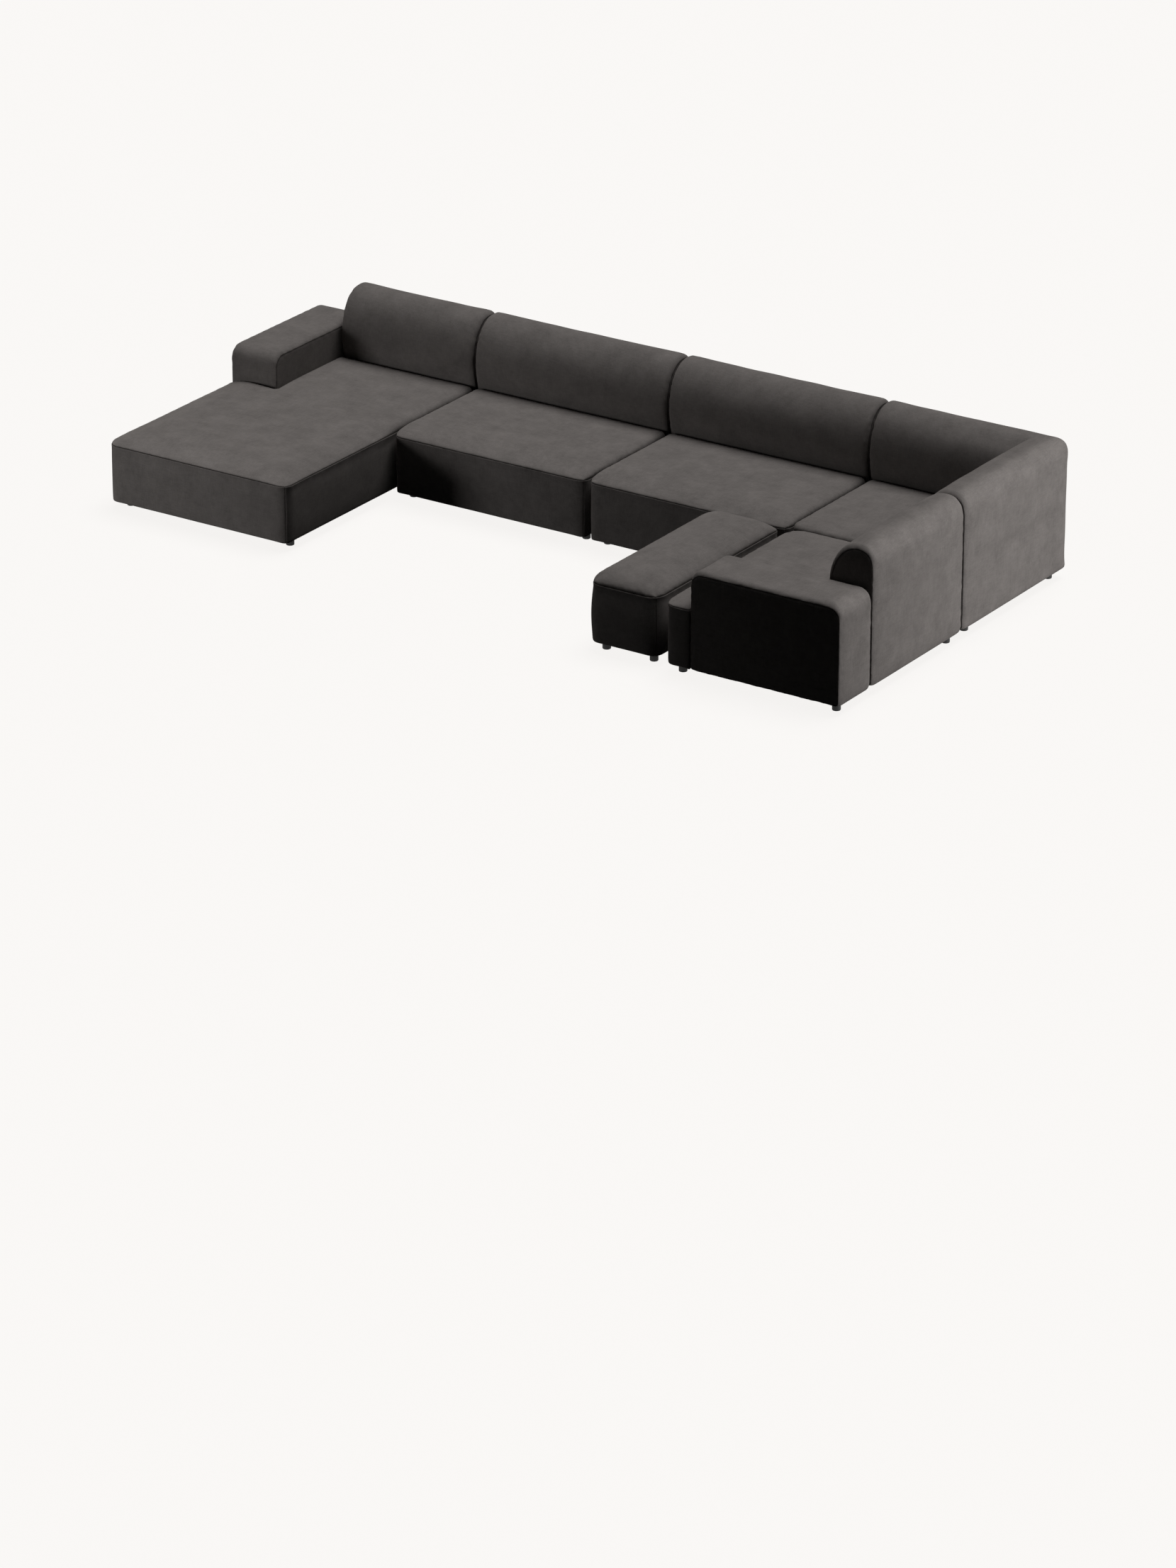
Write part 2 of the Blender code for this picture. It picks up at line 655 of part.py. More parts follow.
def make_feet(unit):
    """Short round feet, screwed up against the corner blocks."""
    left, right, front, rear = unit["foot_insets"]
    places = {"rear_left": (left, -rear), "rear_right": (unit["width"] - right, -rear),
              "front_left": (left, front - unit["depth"]),
              "front_right": (unit["width"] - right, front - unit["depth"])}
    profile = [(FOOT_RADIUS - FOOT_CHAMFER, 0.0), (FOOT_RADIUS, FOOT_CHAMFER),
               (FOOT_RADIUS, FRAME_BOTTOM - FIT)]
    for label, centre in places.items():
        bm = bmesh.new()
        add_turned(bm, centre, profile, FOOT_SIDES)
        foot = place(unit["name"] + "_foot_" + label, bm, unit, "plastic")
        smooth(foot)


# Link bars

def make_link_bar(unit):
    """Flat steel bar under the unit, with a tongue on its left end and a fork on the other."""
    half_gap = UNIT_GAP / 2
    half = LINK_HALF_WIDTH
    slot = TONGUE_HALF_WIDTH + TONGUE_SIDE_PLAY
    slot_end = TONGUE_REACH + TONGUE_END_PLAY
    stem = TONGUE_HALF_WIDTH
    width = unit["width"]
    tongue, fork = unit["links"]
    lower, upper = [], []
    if tongue:
        tip = -half_gap - TONGUE_REACH
        shoulder = -half_gap + LINK_EDGE
        lower = [(tip, -LINK_PLACE - stem), (shoulder, -LINK_PLACE - stem),
                 (shoulder, -LINK_PLACE - half)]
        upper = [(x, -2 * LINK_PLACE - y) for x, y in reversed(lower)]
    ends = [(-LINK_EDGE, -half), (-LINK_EDGE, -slot), (-slot_end, -slot),
            (-slot_end, slot), (-LINK_EDGE, slot), (-LINK_EDGE, half)]
    if fork == "right":
        middle = [(width + half_gap + out, -LINK_PLACE + aside) for out, aside in ends]
    elif fork == "front":
        turn = width - LINK_PLACE
        middle = [(turn - half, -LINK_PLACE - half)]
        middle += [(turn + aside, -unit["depth"] - half_gap - out) for out, aside in ends]
        middle += [(turn + half, -LINK_PLACE + half)]
    else:
        middle = [(-half_gap + LINK_REACH, -LINK_PLACE - half),
                  (-half_gap + LINK_REACH, -LINK_PLACE + half)]
    if not tongue:
        far = width + half_gap - LINK_REACH
        lower = [(far, -LINK_PLACE - half)]
        upper = [(far, -LINK_PLACE + half)]
    top = FOOT_HEIGHT - FIT
    bm = bmesh.new()
    add_prism(bm, lower + middle + upper, top - LINK_THICKNESS, top)
    place(unit["name"] + "_link_bar", bm, unit, "steel")


# The units

def describe(name, place_at, turn, width, depth, arm, backs, foot_insets, links, tongue=0.0):
    empty = bpy.data.objects.new(name + "_unit", None)
    bpy.context.collection.objects.link(empty)
    empty.location = (place_at[0], place_at[1], 0.0)
    empty.rotation_euler = (0.0, 0.0, math.radians(turn))
    return {"name": name, "empty": empty, "width": width, "depth": depth, "arm": arm,
            "arm_length": UNIT_DEPTH - tongue, "backs": backs, "foot_insets": foot_insets,
            "links": links}


def make_unit(unit):
    make_seat(unit)
    for side in unit["backs"]:
        make_back(unit, side)
        make_back_frame(unit, side)
    if unit["arm"]:
        make_arm(unit)
    if unit["backs"]:
        make_webbing(unit)
    make_base_frame(unit)
    make_feet(unit)
    if any(unit["links"]):
        make_link_bar(unit)


FREE, JOINED = FOOT_FREE_INSET, FOOT_JOINED_INSET
SEAT_FEET = (JOINED, FREE, FOOT_FRONT_INSET, FOOT_REAR_INSET)
CHAISE_FEET = (FREE, FREE, FOOT_FRONT_INSET, FOOT_REAR_INSET)
END_FEET = (JOINED, FOOT_RETURN_INSET, FOOT_RETURN_INSET, FOOT_REAR_INSET)
OTTOMAN_FEET = (FREE, FREE, FOOT_RETURN_INSET, FOOT_RETURN_INSET)

LEFT_SEAT_X = LEFT + ARM_UNIT_WIDTH + UNIT_GAP
RIGHT_SEAT_X = LEFT_SEAT_X + SEAT_UNIT_WIDTH + UNIT_GAP
CORNER_X = RIGHT_SEAT_X + SEAT_UNIT_WIDTH + UNIT_GAP
RETURN_Y = REAR - UNIT_DEPTH - UNIT_GAP
OTTOMAN_X = RIGHT - UNIT_DEPTH - OTTOMAN_SIDE_GAP - OTTOMAN_WIDTH

UNITS = [
    describe("chaise", (LEFT, REAR), 0.0, ARM_UNIT_WIDTH, CHAISE_DEPTH, "left", ["rear"],
             CHAISE_FEET, (False, "right"), CHAISE_TONGUE),
    describe("left", (LEFT_SEAT_X, REAR), 0.0, SEAT_UNIT_WIDTH, UNIT_DEPTH, None, ["rear"],
             SEAT_FEET, (True, "right")),
    describe("right", (RIGHT_SEAT_X, REAR), 0.0, SEAT_UNIT_WIDTH, UNIT_DEPTH, None, ["rear"],
             SEAT_FEET, (True, "right")),
    describe("corner", (CORNER_X, REAR), 0.0, UNIT_DEPTH, UNIT_DEPTH, None, ["rear", "side"],
             SEAT_FEET, (True, "front")),
    describe("end", (RIGHT, RETURN_Y), -90.0, ARM_UNIT_WIDTH, UNIT_DEPTH, "right", ["rear"],
             END_FEET, (True, None), END_TONGUE),
    describe("ottoman", (OTTOMAN_X, RETURN_Y), 0.0, OTTOMAN_WIDTH, OTTOMAN_LENGTH, None, [],
             OTTOMAN_FEET, (False, None)),
]

for sofa_unit in UNITS:
    make_unit(sofa_unit)
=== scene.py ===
# Modular corner sofa: covers, linings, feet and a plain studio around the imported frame.
# Metres, +Z up. Each unit is worked out in its own frame: x runs from its left side to its right side
# as seen from the front, y is zero at the back and negative towards the front.
import math

import bmesh
import bpy
import numpy as np
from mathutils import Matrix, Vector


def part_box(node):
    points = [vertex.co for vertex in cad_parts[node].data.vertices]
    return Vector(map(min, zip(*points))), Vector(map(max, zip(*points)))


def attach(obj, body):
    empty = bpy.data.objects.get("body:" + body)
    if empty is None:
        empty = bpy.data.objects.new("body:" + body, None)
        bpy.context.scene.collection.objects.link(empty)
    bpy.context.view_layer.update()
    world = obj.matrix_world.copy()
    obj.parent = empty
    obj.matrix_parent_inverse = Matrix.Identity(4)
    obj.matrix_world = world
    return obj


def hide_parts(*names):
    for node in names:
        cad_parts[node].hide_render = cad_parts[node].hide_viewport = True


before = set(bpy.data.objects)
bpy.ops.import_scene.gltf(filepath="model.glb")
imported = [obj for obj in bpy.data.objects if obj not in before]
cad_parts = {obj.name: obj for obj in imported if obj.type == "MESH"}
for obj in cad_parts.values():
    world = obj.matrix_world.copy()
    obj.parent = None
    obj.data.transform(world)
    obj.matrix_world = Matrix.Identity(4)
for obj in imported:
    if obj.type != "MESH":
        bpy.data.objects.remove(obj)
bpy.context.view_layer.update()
print("frame loaded")

# where the CAD leaves room for what it holds
fit = {
    "clearance": 0.0003,     # between pieces that touch
    "wall": 0.030,           # foam between a frame and the outer face
    "board": 0.030,          # thickness of the frame boards
    "overrun": 0.020,        # how far a cutter runs past the face that it opens
    "tolerance": 0.000001,   # within which two places are the same
    "armFront": 0.060,       # foam before the frame inside an arm
    "sharpAngle": 55.0,      # edges of the covers that turn more than this are drawn sharp
}

unitNames = ("chaise", "left", "right", "corner", "end", "ottoman")
turnedUnits = ("end",)       # stands a quarter turn clockwise, with its back to the right
armSides = {"chaise": "left", "end": "right"}


# units and their frames

def cadSpan(nodes):
    boxes = np.array([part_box(node) for node in nodes])
    return boxes[:, 0].min(axis=0), boxes[:, 1].max(axis=0)


def describeUnit(name):
    soft = [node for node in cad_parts
            if node.startswith(name + "_") and node.endswith(("_seat", "_back", "_arm"))]
    low, high = cadSpan(soft)
    if name in turnedUnits:
        corner, right, inward = high[:2], np.array([0.0, -1.0]), np.array([1.0, 0.0])
        width, depth = high[1] - low[1], high[0] - low[0]
    else:
        corner, right, inward = np.array([low[0], high[1]]), np.array([1.0, 0.0]), np.array([0.0, 1.0])
        width, depth = high[0] - low[0], high[1] - low[1]
    return {"name": name, "corner": corner, "right": right, "inward": inward,
            "width": width, "depth": depth, "arm": armSides.get(name), "body": name + "_unit"}


def toWorld(unit, points):
    # corner of the unit plus x along its right and y along its inward direction; heights stay
    plan = unit["corner"] + points[:, :1] * unit["right"] + points[:, 1:2] * unit["inward"]
    return np.column_stack([plan, points[:, 2]])


def localBox(unit, node):
    # lowest and highest corner of a CAD node in its unit's own frame
    low, high = (np.array(corner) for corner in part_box(node))
    plan = (np.array([low[:2], high[:2]]) - unit["corner"]) @ np.array([unit["right"], unit["inward"]]).T
    return np.append(plan.min(axis=0), low[2]), np.append(plan.max(axis=0), high[2])


def frameBox(unit):
    return (np.array(corner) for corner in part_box(unit["name"] + "_base_frame"))


units = {name: describeUnit(name) for name in unitNames}


# number helpers

def smoothStep(value):
    share = np.clip(value, 0.0, 1.0)
    return share * share * (3 - 2 * share)


waveShape = {
    "count": 9,
    "lengths": (0.7, 1.5),     # shortest and longest, as shares of the wavelength
    "gain": 1.8,
}


def ripple(points, wavelength, seed):
    # mean of a few sine waves in random directions, with a gain that brings it roughly to -1 to 1
    random = np.random.default_rng(seed)
    waves = waveShape["count"]
    directions = random.normal(size=(waves, 3))
    directions /= np.linalg.norm(directions, axis=1)[:, None]
    lengths = wavelength * random.uniform(*waveShape["lengths"], waves)
    starts = random.uniform(0.0, 2 * math.pi, waves)
    turns = points @ (directions * 2 * math.pi / lengths[:, None]).T
    return np.sin(turns + starts).mean(axis=1) * waveShape["gain"]


# mesh helpers

def addPiece(name, points, faces):
    mesh = bpy.data.meshes.new(name)
    mesh.from_pydata(points, [], faces)
    piece = bpy.data.objects.new(name, mesh)
    bpy.context.collection.objects.link(piece)
    return piece


def shadeSmooth(piece, angle):
    piece.data.polygons.foreach_set("use_smooth", [True] * len(piece.data.polygons))
    piece.data.set_sharp_from_angle(angle=math.radians(angle))


def loopFaces(rows):
    # quads between neighbouring closed rows of point numbers, all of one length
    low, high = rows[:-1], rows[1:]
    quads = np.stack([low, np.roll(low, -1, axis=1), np.roll(high, -1, axis=1), high], axis=-1)
    return quads.reshape(-1, 4)


def gridFaces(index):
    # quads of a grid of point numbers
    cells = np.stack([index[:-1, :-1], index[1:, :-1], index[1:, 1:], index[:-1, 1:]], axis=-1)
    return cells.reshape(-1, 4)


def poleFaces(ring, pole, turned=False):
    # triangles between a closed ring of point numbers and one point beyond it
    following = np.roll(ring, -1)
    pairs = zip(following, ring) if turned else zip(ring, following)
    return [[int(a), int(b), pole] for a, b in pairs]


def makeCover(name, unit, points, faces, seam, edge, held, give):
    # a cover before it is blown up, with four values for each point: the seam value is 1 in a seam, where the
    # material darkens the fabric as painted shade for the seam's groove; edge is 1 at a seam and falls off
    # beside it;
    # held is 1 where the cover can't move in the simulation, and give is how far it may move there, in metres
    cover = addPiece(name, toWorld(unit, points), faces)
    cover.data.validate()
    for label, values in (("seam", seam), ("edge", edge), ("give", give)):
        cover.data.attributes.new(label, "FLOAT", "POINT").data.foreach_set("value", values)
    group = cover.vertex_groups.new(name="held")
    for level in np.unique(np.round(held, 2)):
        members = np.flatnonzero(np.round(held, 2) == level).tolist()
        group.add(members, float(level), "REPLACE")
    return cover


# the back's side view, which the seats yield to

backShape = {
    "footDepth": 0.230,        # depth beside the seat
    "bulgeDepth": 0.264,       # depth where the leaning front is deepest
    "bulgeHeight": 0.530,      # where the leaning front is deepest
    "topDepth": 0.095,         # where the top is highest
    "shoulder": 0.120,         # from the top down to where the rear face is straight
    "rearPower": 2.6,          # squareness of the two shoulders
    "frontPower": 2.05,
    "footHeight": 0.356,       # below this the front is upright
    "frontPowerBelow": 1.6,    # how late the front swings out under the bulge
    "frontStep": 0.004,        # from the deepest point to the first one under it
    "bottomRadius": 0.006,
    "arcPoints": 12,
    "frontPoints": 40,         # under the deepest point, before they are spaced evenly
    "spacing": 0.020,          # between rings and between the points of one
    "give": 0.006,             # how far its cloth may stand proud
    "droop": 0.006,            # how much lower the top is at the ends
    "edgeShares": (0.35, 0.80, 0.35, 0.95),   # how round its ends are, as endShape tells
    "armGap": 0.012,           # open beside an arm
}


def frontDepth(height):
    # depth of a back's front under its deepest point: it draws in as share ^ power down to its foot
    shape = backShape
    share = np.clip((shape["bulgeHeight"] - height) / (shape["bulgeHeight"] - shape["footHeight"]), 0.0, 1.0)
    drawn = (shape["bulgeDepth"] - shape["footDepth"]) * share ** shape["frontPowerBelow"]
    return shape["bulgeDepth"] - drawn


# seats

seatShape = {
    "spacing": 0.021,          # between grid lines
    "cornerRadius": {"free": 0.078, "joined": 0.056, "hidden": 0.056, "ottoman": 0.076},
    "rearRadius": 0.022,
    "hiddenRadius": 0.022,     # corners beside the back
    "armCornerRadius": 0.010,  # inside the arm's corner
    "seamHeight": 0.356,       # above the floor
    # how far in from the seam the top is level, and the squareness of the shoulder
    "crown": {"free": (0.160, 1.9), "joined": (0.036, 2.4), "hidden": (0.034, 2.2),
              "ottoman": (0.135, 2.0)},
    "sides": {
        # left, right, front and rear; a unit with its arm on the right is mirrored afterwards
        "chaise": ("free", "joined", "free", "hidden"),
        "left": ("joined", "joined", "free", "hidden"),
        "right": ("joined", "joined", "free", "hidden"),
        "corner": ("joined", "hidden", "joined", "hidden"),
        "end": ("free", "joined", "free", "hidden"),
        "ottoman": ("ottoman", "ottoman", "ottoman", "ottoman"),
    },
    "ottomanRise": 0.008,      # how far its crown stands over the room's top
    "joinedFade": 0.200,       # over which a side's crown turns from free to joined
    "hiddenDrop": 0.017,       # of the top against a back or an arm
    "armCornerReach": 0.110,   # round an arm's corner the top is drawn down more and over a longer run
    "armCornerRun": 1.3,
    "armCornerDrop": 0.9,
    "dome": 0.003,             # how much higher the middle of the top is
    "seamDraw": 0.0016,        # depth of the seam's groove
    # rows below the seam: how far down, and how far in; the negative ones are a small ridge
    "underSeam": ((0.0010, 0.0010), (0.0024, -0.0004), (0.0046, -0.0012), (0.0080, -0.0008),
                  (0.0250, 0.0)),
    "rowSeamShade": 0.9,            # how much of the seam's painted shade the first row below it has
    # from the room's sides to the seam
    "seamInset": {"free": 0.006, "joined": 0.003, "hidden": 0.0, "ottoman": 0.005},
    "sideBulge": {"ottoman": 0.009, "other": 0.0015},   # halfway down the sides
    "footBulge": 0.5,          # share of it at the foot of the sides
    "cornerHug": 0.9,          # how much less the underside is rounded at the corners, over the frame
    "bottomRadius": 0.016,
    "bottomSwings": (0.0, 22.5, 45.0, 67.5, 90.0),
    "hem": 0.034,              # how far the cover turns in under the seat
    "hemStep": 0.008,          # width of its last strip
    "blendReach": 0.012,       # over which one side's crown turns into the next one's
    "armCornerFade": 0.150,    # reach of the rounding inside the arm's corner
    "stripSeamDraw": 0.0028,   # depth and painted shade of the upright seam in the side strip
    "stripSeamShade": 0.85,
    "backReach": 0.020,        # what lies this near to the rear stands against a back
}
seatCloth = {
    "sideGive": 0.003,         # how far the cloth may stand proud at the sides and on top
    "topGive": 0.005,
    "tightGive": 0.001,        # beside seams and at the underside
    "giveSlope": 0.05,         # by how much that grows with the distance from the seam
    "looseWall": (0.12, 0.9),  # between these shares of the sides' height the cloth is free
    "wallHeld": 0.5,           # how firmly it is held above and below
    "heldRim": 0.004,          # this near to the seam the top is held, and over the fade it comes free
    "heldFade": 0.05,
    "hiddenFrom": 0.4,         # share of hidden sides from which a point below the seam is held
    "sideFade": 0.02,          # over which the puckers beside a seam fade, at the sides and on top
    "topFade": 0.03,
}
edgeLines = np.array([0.0, 0.0018, 0.0055, 0.012, 0.022, 0.036, 0.052, 0.070])


def gridLines(marks, spacing):
    # evenly spaced lines between the marks, closer together beside each mark
    lines = []
    for start, end in zip(marks, marks[1:]):
        reach = edgeLines[-1]
        count = max(1, round((end - start - 2 * reach) / spacing))
        lines += [start + edgeLines, np.linspace(start + reach, end - reach, count + 1), end - edgeLines]
    return np.unique(np.round(np.concatenate(lines), 6))


def roundCorner(x, y, corner, towards, radius, fade=None):
    # squares round the circle's centre become circles of the same half width:
    # stretch = max norm / length, which fades out past the radius where a fade is given
    centre = corner[0] - towards[0] * radius, corner[1] - towards[1] * radius
    a, b = (x - centre[0]) * towards[0], (y - centre[1]) * towards[1]
    square, length = np.maximum(a, b), np.hypot(a, b)
    stretch = np.divide(square, length, out=np.ones_like(length), where=length > 0)
    if fade is None:
        touched = (a > 0) & (b > 0) & (square <= radius + fit["tolerance"])
    else:
        touched = (a > 0) & (b > 0)
        away = smoothStep((square - radius) / fade)
        stretch = stretch * (1 - away) + away
    stretch = np.where(touched, stretch, 1.0)
    return centre[0] + (x - centre[0]) * stretch, centre[1] + (y - centre[1]) * stretch


def crownRise(distance, run, power):
    # superellipse from 0 at the seam to 1 where the top is level
    along = np.clip(distance / run, 0.0, 1.0)
    return (1 - (1 - along) ** power) ** (1 / power)


def seatOutline(unit):
    # spans of the seat block, and the inner corner of the arm's notch at its rear left
    low, high = localBox(unit, unit["name"] + "_seat")
    notch = None
    if unit["arm"]:
        armLow, armHigh = localBox(unit, unit["name"] + "_arm")
        notch = (armHigh[0] - armLow[0] + fit["clearance"], armLow[1] - fit["clearance"])
        low[0], high[0] = 0.0, unit["width"]
    return low, high, notch


def boundaryLoop(index, notchAt):
    # point numbers along the edge of the grid, anticlockwise from the front left corner
    if notchAt is None:
        return np.concatenate([index[:-1, 0], index[-1, :-1], index[:0:-1, -1], index[0, :0:-1]])
    i, j = notchAt
    return np.concatenate([index[:-1, 0], index[-1, :-1], index[:i:-1, -1], index[i, :j:-1],
                           index[i:0:-1, j], index[0, j:0:-1]])


def seatHeight(unit, x, y, spans, top, kinds, distances, cornerPull):
    # the crowns of the sides multiplied, and a slight dome over all of it; beside a back or an arm the
    # top is drawn down less, most round the arm's corner
    shape = seatShape
    x0, x1, y0, y1 = spans
    openRise, hiddenRise = 1.0, 1.0
    for kind, distance in zip(kinds, distances):
        run, power = shape["crown"][kind]
        if kind == "joined" and unit["name"] == "chaise":
            # in front of the seat beside it this side stands free
            free = 1 - smoothStep((y + units["left"]["depth"]) / shape["joinedFade"] + 0.5)
            run, power = (a + (b - a) * free for a, b in zip((run, power), shape["crown"]["free"]))
        if kind == "hidden":
            run = run * (1 + shape["armCornerRun"] * cornerPull)
            hiddenRise = hiddenRise * crownRise(distance, run, power)
        else:
            openRise = openRise * crownRise(distance, run, power)
    rise = top + (shape["ottomanRise"] if unit["name"] == "ottoman" else 0.0)
    hiddenDrop = shape["hiddenDrop"] * (1 + shape["armCornerDrop"] * cornerPull)
    domeX, domeY = (2 * (x - x0) / (x1 - x0) - 1) ** 2, (2 * (y - y0) / (y1 - y0) - 1) ** 2
    z = rise - shape["dome"] * (1 - (1 - domeX) * (1 - domeY)) * openRise
    return z - (rise - shape["seamHeight"]) * (1 - openRise) - hiddenDrop * (1 - hiddenRise) * openRise


def seatPlan(x, y, spans, kinds, notch):
    # the grid with its upright corners rounded one after the other
    shape = seatShape
    x0, x1, y0, y1 = spans
    rear, tucked = shape["rearRadius"], shape["hiddenRadius"]
    frontLeft, frontRight = (shape["cornerRadius"][kind] for kind in kinds[:2])
    corners = [((x0, y0), (-1, -1), frontLeft), ((x1, y0), (1, -1), frontRight), ((x1, y1), (1, 1), rear)]
    if notch:
        corners += [((notch[0], y1), (-1, 1), tucked), ((x0, notch[1]), (-1, 1), tucked),
                    (notch, (1, -1), shape["armCornerRadius"], shape["armCornerFade"])]
    else:
        corners.append(((x0, y1), (-1, 1), rear))
    for corner in corners:
        x, y = roundCorner(x, y, *corner)
    return x, y


def seatRows(unit, ring, normal, hidden, bottom):
    # rows under the seam, each the seam's loop moved along its normal, as places in plan, heights,
    # give, held and edge: the groove, the sides, the rounding below them and the hem
    shape = seatShape
    bulge = shape["sideBulge"].get(unit["name"], shape["sideBulge"]["other"]) * (1 - hidden)[:, None]
    atCorner = np.abs(2 * normal[:, :1] * normal[:, 1:])
    hemInset = shape["seamInset"]["free"] * (1 - hidden)[:, None]
    radius, tight, fade = shape["bottomRadius"], seatCloth["tightGive"], seatCloth["sideFade"]
    rows = [(ring[:, :2] - normal * draw, ring[:, 2] - down, tight, 1.0, math.exp(-down / fade))
            for down, draw in shape["underSeam"]]
    start, wallBottom = rows[-1][1], bottom + radius
    wall = shape["seamHeight"] - shape["underSeam"][-1][0] - wallBottom
    count = round(wall / shape["spacing"])
    firstLoose, lastLoose = seatCloth["looseWall"]
    for share in np.arange(1, count) / count:
        plan = ring[:, :2] + normal * bulge * (math.sin(math.pi * share) + shape["footBulge"] * share)
        firm = 0.0 if firstLoose < share < lastLoose else seatCloth["wallHeld"]
        rows.append((plan, start + (wallBottom - start) * share, seatCloth["sideGive"], firm,
                     math.exp(-share * wall / fade)))
    for angle in shape["bottomSwings"]:
        swing = math.radians(angle)
        draw = radius * (1 - math.cos(swing)) * (1 - shape["cornerHug"] * atCorner)
        plan = ring[:, :2] - normal * (draw - bulge * shape["footBulge"] * math.cos(swing))
        rows.append((plan, bottom + radius * (1 - math.sin(swing)), tight, 1.0, 0.0))
    for inset in (shape["hem"] - shape["hemStep"], shape["hem"]):
        rows.append((ring[:, :2] - normal * (inset - hemInset), bottom, 0.0, 1.0, 0.0))
    return rows


def makeSeat(unit):
    shape = seatShape
    (x0, y0, bottom), (x1, y1, top), notch = seatOutline(unit)
    kinds = shape["sides"][unit["name"]]
    inset = [shape["seamInset"][kind] for kind in kinds]
    x0, x1, y0, y1 = x0 + inset[0], x1 - inset[1], y0 + inset[2], y1 - inset[3]
    xs = gridLines([x0, notch[0], x1] if notch else [x0, x1], shape["spacing"])
    ys = gridLines([y0, notch[1], y1] if notch else [y0, y1], shape["spacing"])
    x, y = np.meshgrid(xs, ys, indexing="ij")

    # distance to each side
    distances = [x - x0, x1 - x, y - y0, y1 - y]
    kept = np.ones(x.shape, bool)
    notchAt = None
    cornerPull = 0.0
    if notch:
        tiny = fit["tolerance"]
        kept = ~((x < notch[0] - tiny) & (y > notch[1] + tiny))
        notchAt = (int(np.argmin(abs(xs - notch[0]))), int(np.argmin(abs(ys - notch[1]))))
        distances.append(np.maximum(x - notch[0], notch[1] - y))
        distances[0] = np.where(y > notch[1] + tiny, 1.0, x - x0)
        kinds = (*kinds, "hidden")
        cornerPull = np.exp(-np.hypot(x - notch[0], y - notch[1]) / shape["armCornerReach"])
    nearest = np.min(distances, axis=0)
    shares = np.exp(-(np.array(distances) - nearest) / shape["blendReach"])
    shares /= shares.sum(axis=0)
    hiddenShare = np.sum([share * (kind == "hidden") for share, kind in zip(shares, kinds)], axis=0)
    spans = x0, x1, y0, y1
    z = seatHeight(unit, x, y, spans, top, kinds, distances, cornerPull)
    px, py = seatPlan(x, y, spans, kinds, notch)

    index = np.full(x.shape, -1)
    index[kept] = np.arange(kept.sum())
    cells = gridFaces(index)
    topFaces = cells[(cells >= 0).all(axis=1)]
    points = np.column_stack([px[kept], py[kept], z[kept]])
    near, hiddenShare = nearest[kept], hiddenShare[kept]

    # outward normal of the seam's loop, which is then drawn in as a groove
    loop = boundaryLoop(index, notchAt)
    ring = points[loop]
    tangent = np.roll(ring, -1, axis=0)[:, :2] - np.roll(ring, 1, axis=0)[:, :2]
    normal = np.column_stack([tangent[:, 1], -tangent[:, 0]])
    normal /= np.linalg.norm(normal, axis=1)[:, None]
    points[loop, :2] -= normal * shape["seamDraw"]
    loopHidden = hiddenShare[loop]
    rows = seatRows(unit, ring, normal, loopHidden, bottom)

    # faces and the values of every point: first those of the top, then row by row
    total, size = len(points), len(ring)
    rowNumbers = [loop] + [total + size * k + np.arange(size) for k in range(len(rows))]
    sideFaces = loopFaces(np.array(rowNumbers))[:, ::-1]
    plans, heights, give, held, edge = zip(*rows)
    rings = [np.column_stack([plan, np.broadcast_to(height, size)]) for plan, height in zip(plans, heights)]
    allPoints = np.concatenate([points] + rings)
    topHeld = np.clip(1 - near / seatCloth["heldFade"], 0.0, 1.0) ** 2
    topHeld = np.where(near < seatCloth["heldRim"], 1.0, topHeld)
    topEdge = np.exp(-near / seatCloth["topFade"])
    topGive = np.minimum(seatCloth["tightGive"] + near * seatCloth["giveSlope"], seatCloth["topGive"])
    # share of the seams' darkening, a painted shade for their grooves, also on the first row below them
    seam = np.zeros(len(allPoints))
    seam[loop], seam[rowNumbers[1]] = 1.0, shape["rowSeamShade"]
    edges = np.concatenate([topEdge * (1 - hiddenShare), np.repeat(edge, size)])
    helds = np.concatenate([np.maximum(topHeld, hiddenShare * topEdge), np.repeat(held, size)])
    gives = np.concatenate([topGive, np.repeat(give, size)])
    helds[total:] = np.maximum(helds[total:], np.tile(loopHidden > seatCloth["hiddenFrom"], len(rows)))
    gives[total:] *= np.tile(1 - loopHidden, len(rows))

    # the side strip is sewn together at the front right corner
    joint = len(xs) - 1
    column = np.array([row[joint] for row in rowNumbers[1:-3]])
    allPoints[column, :2] -= normal[joint] * shape["stripSeamDraw"]
    # the upright seam is darkened too, a painted shade for its groove
    seam[column] = shape["stripSeamShade"]
    helds[column] = 1.0
    faces = np.concatenate([topFaces, sideFaces])
    if unit["name"] != "ottoman":
        # what stands against a back's leaning front yields to it
        reach = -frontDepth(allPoints[:, 2]) - fit["clearance"]
        beside = allPoints[:, 1] > y1 - shape["backReach"]
        allPoints[:, 1] = np.minimum(allPoints[:, 1], np.where(beside, reach, 0.0))
        if unit["name"] == "corner":
            width = unit["width"]
            beside = allPoints[:, 0] > x1 - shape["backReach"]
            allPoints[:, 0] = np.minimum(allPoints[:, 0], np.where(beside, width + reach, width))
    if unit["arm"] == "right":
        allPoints[:, 0] = unit["width"] - allPoints[:, 0]
        faces = faces[:, ::-1]
    return makeCover(unit["name"] + "_seat_cover", unit, allPoints, faces.tolist(), seam, edges, helds, gives)


# backs and arms: a closed outline carried along the block, with a sewn panel at each end

